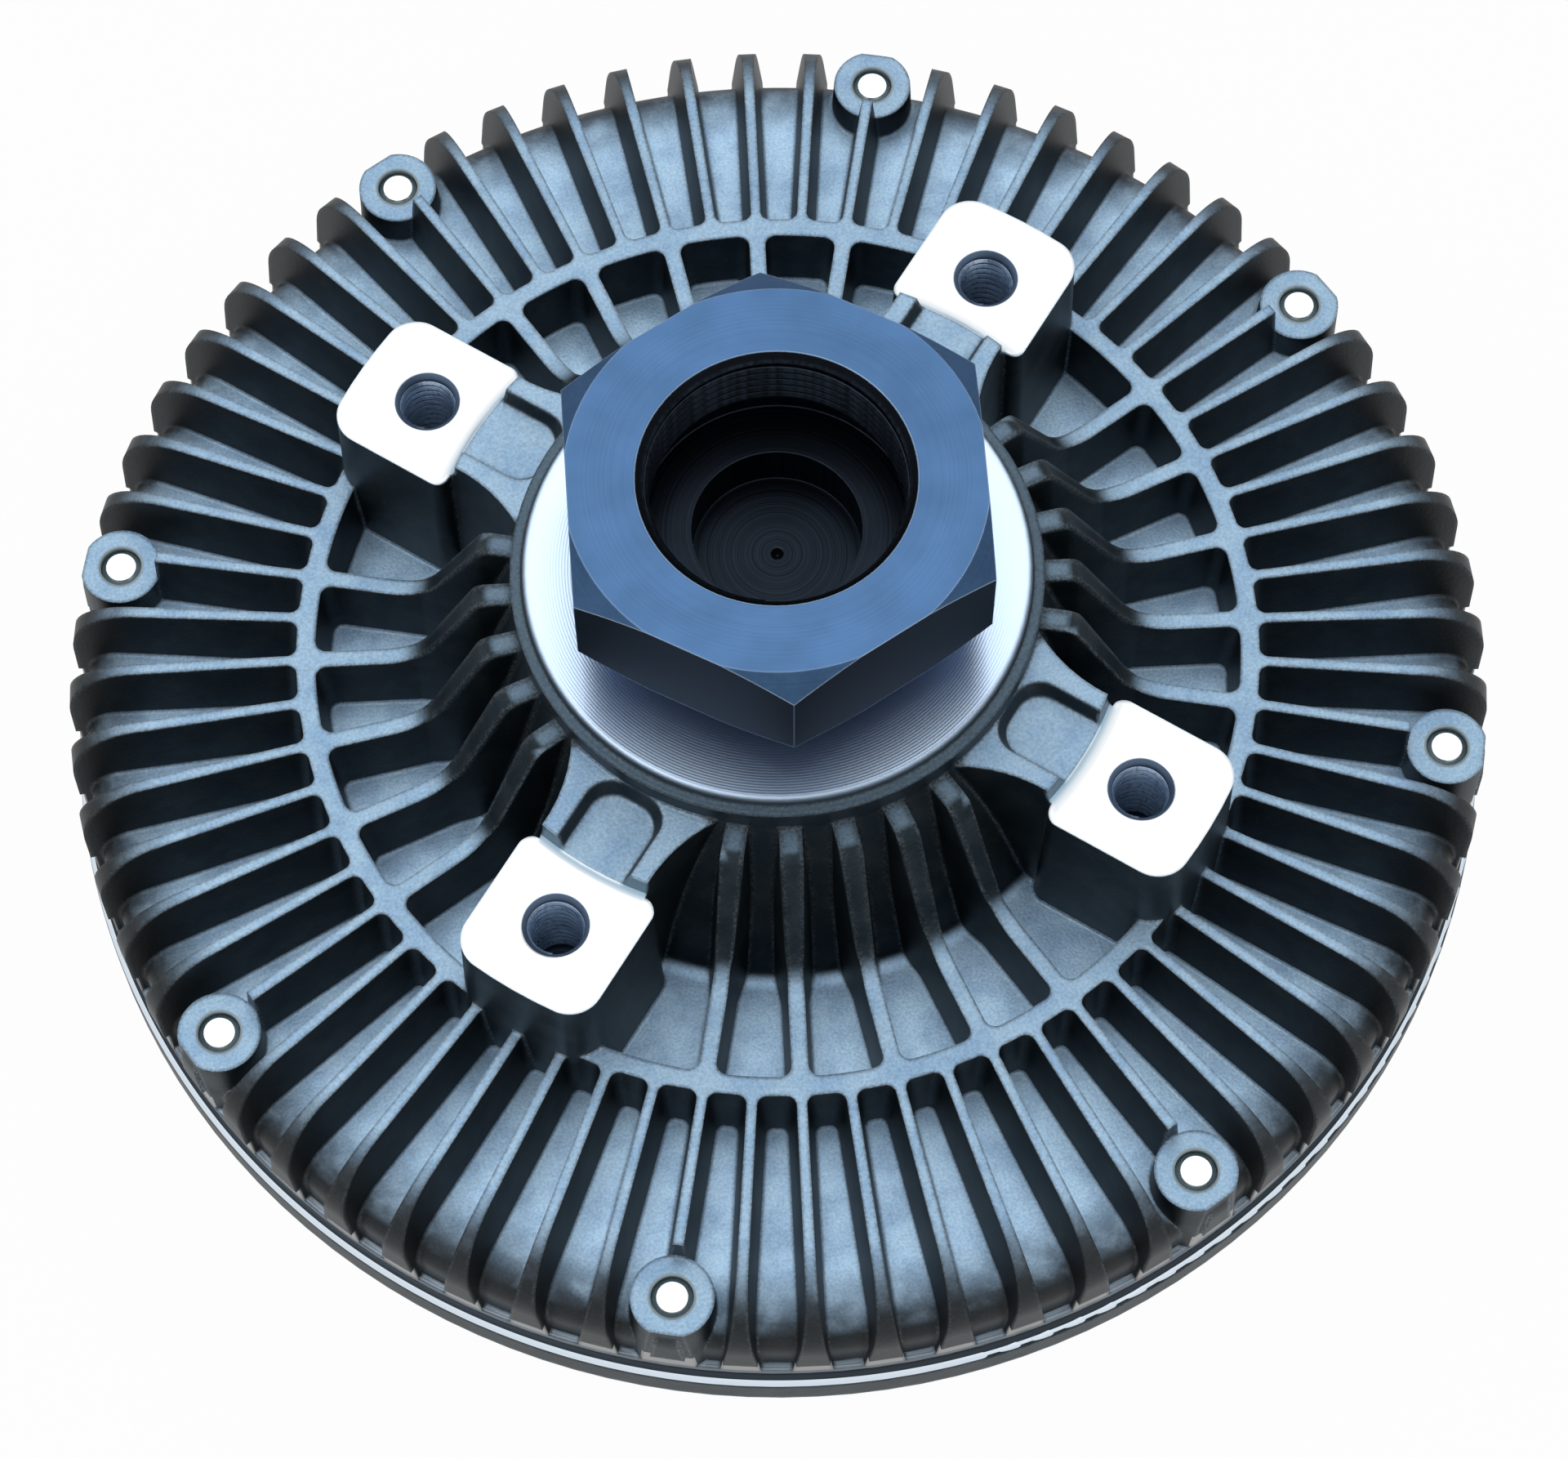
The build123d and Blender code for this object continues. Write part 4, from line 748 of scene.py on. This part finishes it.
@dataclass(frozen=True)
class MouldedPolymer:
    """Moulded rubber or polyamide: a dull skin with a fine grain and slightly paler high spots."""

    name: str
    slot: str
    colour: str
    bloom: str
    roughness: float = 0.6
    grain_mm: float = 0.3
    cloud_mm: float = 6.67
    bloom_span: tuple[float, float] = (0.4, 0.65)
    bloom_most: float = 0.6
    rough_spread: tuple[float, float] = (0.85, 1.15)
    edge_mm: float = 0.2
    depth_mm: float = 0.03
    ior: float = 1.5

    def build(self) -> bpy.types.Material:
        """Builds the material.

        Returns:
            The moulded polymer.
        """
        shade = Shading(bpy.data.materials.new(self.name))
        coords = shade.add("ShaderNodeTexCoord").outputs["Object"]
        rounded, worn = shade.edges(self.edge_mm * MM)
        grain = shade.add("ShaderNodeTexNoise", {"Vector": coords, "Scale": 1 / (self.grain_mm * MM), "Detail": 3.0})
        cloud = shade.add("ShaderNodeTexNoise", {"Vector": coords, "Scale": 1 / (self.cloud_mm * MM), "Detail": 2.0})
        low, high = self.bloom_span
        pale = shade.add("ShaderNodeMapRange", {VALUE: cloud, FROM_LOW: low, FROM_HIGH: high, TO_HIGH: self.bloom_most})
        pale = shade.add("ShaderNodeMath", {0: pale, 1: worn}, operation="MAXIMUM")
        colour = shade.paint(self.colour, (pale, self.bloom))
        low, high = (self.roughness * share for share in self.rough_spread)
        rough = shade.add("ShaderNodeMapRange", {VALUE: grain, **NOISE_SPAN, TO_LOW: low, TO_HIGH: high})
        bump = shade.add(
            "ShaderNodeBump", {"Strength": 0.4, "Distance": self.depth_mm * MM, "Height": grain, "Normal": rounded}
        )
        return shade.finish({"Base Color": colour, "Roughness": rough, "Normal": bump, "IOR": self.ior})


Finish = CastAluminium | OxideSteel | WorkedMetal | MouldedPolymer
MADE: dict[Finish, bpy.types.Material] = {}


def material_of(finish: Finish) -> bpy.types.Material:
    """Builds a finish once and then hands out the same material.

    Args:
        finish: One of the frozen finishes.

    Returns:
        Its material.
    """
    if finish not in MADE:
        MADE[finish] = finish.build()
    return MADE[finish]


def into_scene(name: str, shape: bmesh.types.BMesh, material: bpy.types.Material) -> bpy.types.Object:
    """Turns a finished bmesh into an object of the scene.

    Args:
        name: Name of the object.
        shape: The mesh; it is freed here.
        material: Material of the whole object.

    Returns:
        The new object.
    """
    mesh = bpy.data.meshes.new(name)
    shape.to_mesh(mesh)
    shape.free()
    mesh.materials.append(material)
    piece = bpy.data.objects.new(name, mesh)
    bpy.context.scene.collection.objects.link(piece)
    return piece


@dataclass(frozen=True)
class ThreadCut:
    """Internal thread, shown as a ridge that winds up the wall of a bore, in millimetres."""

    bore_r: float
    ridge: float
    pitch: float
    low_z: float
    high_z: float
    steps: int
    centre: tuple[float, float] = (0.0, 0.0)
    # Shares of the pitch: each flank, the crest, and what the ridge's own height takes off its run
    flank: float = 0.36
    crest: float = 0.14
    run_out: float = 0.9
    # The ridge starts this far inside the wall
    sunk: float = 0.05

    def sweep(self) -> bmesh.types.BMesh:
        """Winds the ridge's section round the bore.

        Returns:
            The closed ridge, with its faces outwards.
        """
        shape = bmesh.new()
        wall_r, crest_r = self.bore_r + self.sunk, self.bore_r - self.ridge
        section = [
            (wall_r, 0.0),
            (crest_r, self.flank * self.pitch),
            (crest_r, (self.flank + self.crest) * self.pitch),
            (wall_r, (2 * self.flank + self.crest) * self.pitch),
        ]
        corners = [
            shape.verts.new(((self.centre[0] + radius) * MM, self.centre[1] * MM, (self.low_z + rise) * MM))
            for radius, rise in section
        ]
        face = shape.faces.new(corners)
        turns = (self.high_z - self.low_z) / self.pitch - self.run_out
        count = round(turns * self.steps)
        bmesh.ops.spin(
            shape,
            geom=[face],
            cent=(self.centre[0] * MM, self.centre[1] * MM, 0.0),
            axis=(0.0, 0.0, 1.0),
            dvec=(0.0, 0.0, self.pitch * MM / self.steps),
            angle=2 * math.pi / self.steps * count,
            steps=count,
            use_duplicate=False,
        )
        bmesh.ops.recalc_face_normals(shape, faces=shape.faces)
        return shape


ENGINE_CASTING = CastAluminium(
    "die_cast_aluminium",
    "cast_aluminium",
    zones=(
        # Fan pads, shoulders of the lugs, hub face, foot of the fins, ledge above the joint
        TurnedZone(42.2, 62.0, 58.35, 59.65, shaded_wall="#9db9cb"),
        TurnedZone(41.75, 45.0, 59.65, 62.1, face="#9fc0d8", shaded_wall="#5f7686"),
        TurnedZone(19.0, 30.5, 64.9, 66.2, face="#c6dbf4", shaded_wall="#3c4852"),
        TurnedZone(87.4, 88.2, 27.7, 31.05),
        TurnedZone(86.6, 87.8, 26.4, 27.68, face="#909eab", shaded_wall="#5d666e"),
    ),
    holes=(
        # Fan screws in the lugs, cover screws in the bosses
        BoltCircle(50.0, 4, 45.0, bore_r=4.0, clear_r=4.0, metal="#566880"),
        BoltCircle(83.0, 8, 22.5, bore_r=2.85, clear_r=5.2, metal="#93a1a6"),
    ),
    floor_z=35.3,
    web_low_z=45.5,
    web_reach=77.2,
    lug_reach=21.0,
    collar_z=62.5,
    rim_shade_from_r=77.5,
)
COVER_CASTING = CastAluminium(
    "cover_cast_aluminium",
    "cover_aluminium",
    zones=(
        # Painted shadow in the groove under the joint, bead round the rim, face of the valve shaft's boss
        TurnedZone(86.0, 87.95, 23.9, 26.2, face="#363d44", shaded_wall="#23292e"),
        TurnedZone(87.95, 88.8, 24.1, 25.5, face="#eaf1f7", shaded_wall="#d3dfea"),
        TurnedZone(3.0, 9.2, 8.5, 11.2),
    ),
    floor_z=-20.0,
)
OXIDE = OxideSteel("blued_steel", "oxide_steel")
TAPPED_ALUMINIUM = WorkedMetal(
    "tapped_aluminium", "cast_aluminium", "#b9cbe0", "#7c90a8", roughness=0.3, mark_mm=0.5
)
ROTOR_ALUMINIUM = WorkedMetal("turned_aluminium", "rotor_aluminium", "#c3c9d0", "#8d959f", roughness=0.32)
BALL_STEEL = WorkedMetal("ground_bearing_steel", "bearing_steel", "#c4c7cb", "#9a9fa6", roughness=0.14, depth_mm=0.004)
ZINC_SCREW = WorkedMetal(
    "zinc_plated_steel", "screw_steel", "#f0f4f6", "#c4ced4", roughness=0.28, mark_mm=0.6, flank="#aab7bc"
)
SHEET = WorkedMetal(
    "cold_rolled_sheet", "sheet_steel", "#b4bac1", "#7f868e", roughness=0.34, marks=Marks.UPRIGHT, mark_mm=0.7
)
SPRING = WorkedMetal(
    "phosphated_spring_steel", "spring_steel", "#4a4d50", "#2b2d30", roughness=0.5, mark_mm=0.5, metallic=0.8
)
BIMETAL = WorkedMetal("rolled_bimetal", "bimetal", "#b9a482", "#7b6c58", roughness=0.36, mark_mm=0.5)
SEAL_RUBBER = MouldedPolymer("nitrile_rubber", "seal_rubber", "#17181a", "#34373a", roughness=0.62)
CAGE_POLYAMIDE = MouldedPolymer("glass_filled_polyamide", "cage_polyamide", "#c9b994", "#e0d4b4", roughness=0.5)


@dataclass
class SubAssembly:
    """Group of CAD nodes that are dressed together, with the pieces that Blender adds to them."""

    title: str
    body: Body
    finishes: dict[str, Finish]

    def dress(self) -> None:
        """Gives every CAD node of the group its material."""
        for node_name, finish in self.finishes.items():
            material = material_of(finish)
            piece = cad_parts[node_name]
            piece.data.materials.clear()
            piece.data.materials.append(material)
            LOG.info("%s: %s is %s", self.title, node_name, material.name)

    def build(self) -> None:
        """Adds the group's own pieces; a group without any adds nothing."""

    def cut(self, name: str, thread: ThreadCut, finish: Finish) -> None:
        """Adds a thread that rides on the group's body.

        Args:
            name: Name of the piece.
            thread: The thread.
            finish: Finish of its bore.
        """
        piece = into_scene(name, thread.sweep(), material_of(finish))
        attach(piece, self.body.value)
        LOG.info("%s: %s has %d faces", self.title, name, len(piece.data.polygons))


@dataclass
class Casing(SubAssembly):
    """Finned housing with its cover, the plate between them and the tapped holes for the fan."""

    title: str = "casing"
    body: Body = Body.CASING
    finishes: dict[str, Finish] = field(
        default_factory=lambda: {
            "finned_housing": ENGINE_CASTING,
            "front_cover": COVER_CASTING,
            "cover_screws": ZINC_SCREW,
            "cover_seal_ring": SEAL_RUBBER,
            "separator_plate": SHEET,
            "plate_rivets": ZINC_SCREW,
            "coil_anchor_post": ZINC_SCREW,
        }
    )
    fan_circle_r: float = 50.0
    fan_hole_r: float = 3.4
    fan_ridge: float = 0.3
    fan_pitch: float = 1.25
    fan_thread_depth: float = 15.0
    fan_chamfer: float = 0.5
    fan_steps: int = 36
    pad_z: float = 58.5
    lug_count: int = 4
    lug_phase: float = 45.0

    def build(self) -> None:
        """Cuts the M8 threads into the four fan lugs."""
        for number in range(self.lug_count):
            angle = math.radians(self.lug_phase + 360 / self.lug_count * number)
            thread = ThreadCut(
                bore_r=self.fan_hole_r,
                ridge=self.fan_ridge,
                pitch=self.fan_pitch,
                low_z=self.pad_z - self.fan_thread_depth,
                high_z=self.pad_z - self.fan_chamfer,
                steps=self.fan_steps,
                centre=(self.fan_circle_r * math.cos(angle), self.fan_circle_r * math.sin(angle)),
            )
            self.cut(f"fan_thread_{number + 1}", thread, TAPPED_ALUMINIUM)


@dataclass
class Input(SubAssembly):
    """Input shaft with the hex, the rotor on its stub and the rings that hold them."""

    title: str = "input"
    body: Body = Body.INPUT
    finishes: dict[str, Finish] = field(
        default_factory=lambda: {
            "input_shaft": OXIDE,
            "rotor": ROTOR_ALUMINIUM,
            "rotor_retaining_ring": SPRING,
            "shaft_retaining_ring": SPRING,
            "bearing_inner_ring": BALL_STEEL,
        }
    )
    pump_bore_r: float = 15.19
    pump_ridge: float = 0.42
    pump_pitch: float = 1.5
    pump_steps: int = 96
    thread_low_z: float = 79.6
    thread_high_z: float = 88.0

    def build(self) -> None:
        """Cuts the thread for the pump's nose into the bore."""
        thread = ThreadCut(
            bore_r=self.pump_bore_r,
            ridge=self.pump_ridge,
            pitch=self.pump_pitch,
            low_z=self.thread_low_z,
            high_z=self.thread_high_z,
            steps=self.pump_steps,
        )
        self.cut("pump_thread", thread, OXIDE)


@dataclass
class Bearing(SubAssembly):
    """Outer ring, seals and retaining ring of the bearing, which stay with the casing."""

    title: str = "bearing"
    body: Body = Body.CASING
    finishes: dict[str, Finish] = field(
        default_factory=lambda: {
            "bearing_outer_ring": BALL_STEEL,
            "bearing_seal_upper": SEAL_RUBBER,
            "bearing_seal_lower": SEAL_RUBBER,
            "bearing_retaining_ring": SPRING,
        }
    )


@dataclass
class BallTrain(SubAssembly):
    """Balls and cage, which turn slower than the shaft."""

    title: str = "ball train"
    body: Body = Body.BALLS
    finishes: dict[str, Finish] = field(
        default_factory=lambda: {"bearing_balls": BALL_STEEL, "bearing_cage": CAGE_POLYAMIDE}
    )


@dataclass
class Valve(SubAssembly):
    """Temperature valve: its shaft, seal and arm, and the bimetal coil that turns them."""

    title: str = "valve"
    body: Body = Body.VALVE
    finishes: dict[str, Finish] = field(
        default_factory=lambda: {
            "valve_shaft": ZINC_SCREW,
            "valve_shaft_ring": SEAL_RUBBER,
            "valve_arm": SHEET,
            "bimetal_coil": BIMETAL,
        }
    )
    coil_inner_x: float = 8.0
    coil_end_x: float = 17.0
    weld: float = 0.002

    def build(self) -> None:
        """Replaces the CAD coil with a welded copy of its mesh."""
        shape = bmesh.new()
        shape.from_mesh(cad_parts["bimetal_coil"].data)
        bmesh.ops.remove_doubles(shape, verts=shape.verts, dist=self.weld * MM)
        coil = into_scene("wound_bimetal_coil", shape, material_of(BIMETAL))
        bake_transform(coil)
        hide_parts("bimetal_coil")
        LOG.info("%s: coil blended between shaft and anchor post", self.title)


@dataclass(frozen=True)
class Lamp:
    """Soft square lamp that points at the object, in metres, watts and degrees."""

    name: str
    side: float
    watts: float
    bearing: float
    height: float
    distance: float
    aim_z: float = 0.04

    def hang(self) -> None:
        """Adds the lamp at its bearing from +X and its height above the horizon."""
        data = bpy.data.lights.new(self.name, "AREA")
        data.size = self.side
        data.energy = self.watts
        around, above = math.radians(self.bearing), math.radians(self.height)
        out = Vector((math.cos(around) * math.cos(above), math.sin(around) * math.cos(above), math.sin(above)))
        lamp = bpy.data.objects.new(self.name, data)
        bpy.context.scene.collection.objects.link(lamp)
        lamp.rotation_mode = "QUATERNION"
        lamp.location = Vector((0.0, 0.0, self.aim_z)) + out * self.distance
        lamp.rotation_quaternion = out.to_track_quat("Z", "Y")


@dataclass
class Studio:
    """Camera at the photograph's place, plain pale floor and soft lamps."""

    lens_mm: float = 104.1
    sensor_mm: float = 36.0
    elevation: float = 66.415
    azimuth: float = -13.7
    roll: float = 0.308
    place_mm: tuple[float, float, float] = (-54.5, -226.5, 550.7)
    clip_m: tuple[float, float] = (0.01, 20.0)
    floor_half_m: float = 3.0
    floor_drop: float = 0.1
    floor_glow: float = 0.97
    surround_light: float = 0.45
    lamps: tuple[Lamp, ...] = (
        Lamp("overhead", 1.1, 3.4, 90.0, 71.0, 1.5),
        Lamp("left", 0.8, 1.5, 190.0, 60.0, 1.3),
        Lamp("front", 0.7, 0.45, 300.0, 30.0, 1.4),
    )

    def camera(self) -> None:
        """Sets the camera up from its place, its two angles and its roll."""
        lift, turn, tilt = (math.radians(a) for a in (self.elevation, self.azimuth, self.roll))
        spin = Matrix.Rotation(turn, 3, "Z")
        forward = spin @ Vector((0.0, math.cos(lift), -math.sin(lift)))
        right = spin @ Vector((1.0, 0.0, 0.0))
        up = right.cross(forward)
        across = right * math.cos(tilt) - up * math.sin(tilt)
        upward = right * math.sin(tilt) + up * math.cos(tilt)
        data = bpy.data.cameras.new("camera")
        data.lens = self.lens_mm
        data.sensor_width = self.sensor_mm
        data.clip_start, data.clip_end = self.clip_m
        camera = bpy.data.objects.new("camera", data)
        bpy.context.scene.collection.objects.link(camera)
        turned = Matrix((across, upward, -forward)).transposed().to_4x4()
        camera.matrix_world = Matrix.Translation(Vector(self.place_mm) * MM) @ turned
        bpy.context.scene.camera = camera

    def floor(self) -> None:
        """Lays a pale floor that camera and metal see as near white, with the object's shadow on it.

        It is see-through from its back, so that a view from below shows the cover, and lies a tenth of a millimetre
        under the ribs that it carries.
        """
        shade = Shading(bpy.data.materials.new("pale_floor"))
        share = shade.add("ShaderNodeMath", {0: shade.seen(), 1: self.floor_glow}, operation="MULTIPLY")
        dull = shade.add("ShaderNodeBsdfDiffuse", {"Color": "#f2f2f2"})
        glow = shade.add("ShaderNodeEmission", {"Color": "#ffffff", "Strength": 1.0})
        both = shade.add("ShaderNodeMixShader", {0: share, 1: dull, 2: glow})
        back = shade.add("ShaderNodeNewGeometry").outputs["Backfacing"]
        clear = shade.add("ShaderNodeBsdfTransparent")
        whole = shade.add("ShaderNodeMixShader", {0: back, 1: both, 2: clear})
        shade.add("ShaderNodeOutputMaterial", {"Surface": whole})
        shape = bmesh.new()
        bmesh.ops.create_grid(shape, x_segments=2, y_segments=2, size=self.floor_half_m)
        bmesh.ops.translate(shape, verts=shape.verts, vec=(0.0, 0.0, -self.floor_drop * MM))
        into_scene("floor", shape, shade.owner)

    def surroundings(self) -> None:
        """Makes the surroundings white for camera and metal, and dim as a source of light."""
        world = bpy.data.worlds.new("studio")
        bpy.context.scene.world = world
        shade = Shading(world)
        strength = shade.add("ShaderNodeMapRange", {VALUE: shade.seen(), TO_LOW: self.surround_light})
        light = shade.add("ShaderNodeBackground", {"Color": "#ffffff", "Strength": strength})
        shade.add("ShaderNodeOutputWorld", {"Surface": light})

    def build(self) -> None:
        """Sets up camera, floor, surroundings and lamps."""
        bpy.context.scene.view_settings.view_transform = "Standard"
        self.camera()
        self.floor()
        self.surroundings()
        for lamp in self.lamps:
            lamp.hang()
        LOG.info("studio ready")


def main() -> None:
    """Builds the studio and every sub-assembly."""
    logging.basicConfig(level=logging.INFO)
    Studio().build()
    for part in (Casing(), Input(), Bearing(), BallTrain(), Valve()):
        part.dress()
        part.build()
        LOG.info("%s done", part.title)


if __name__ == "__main__":
    main()
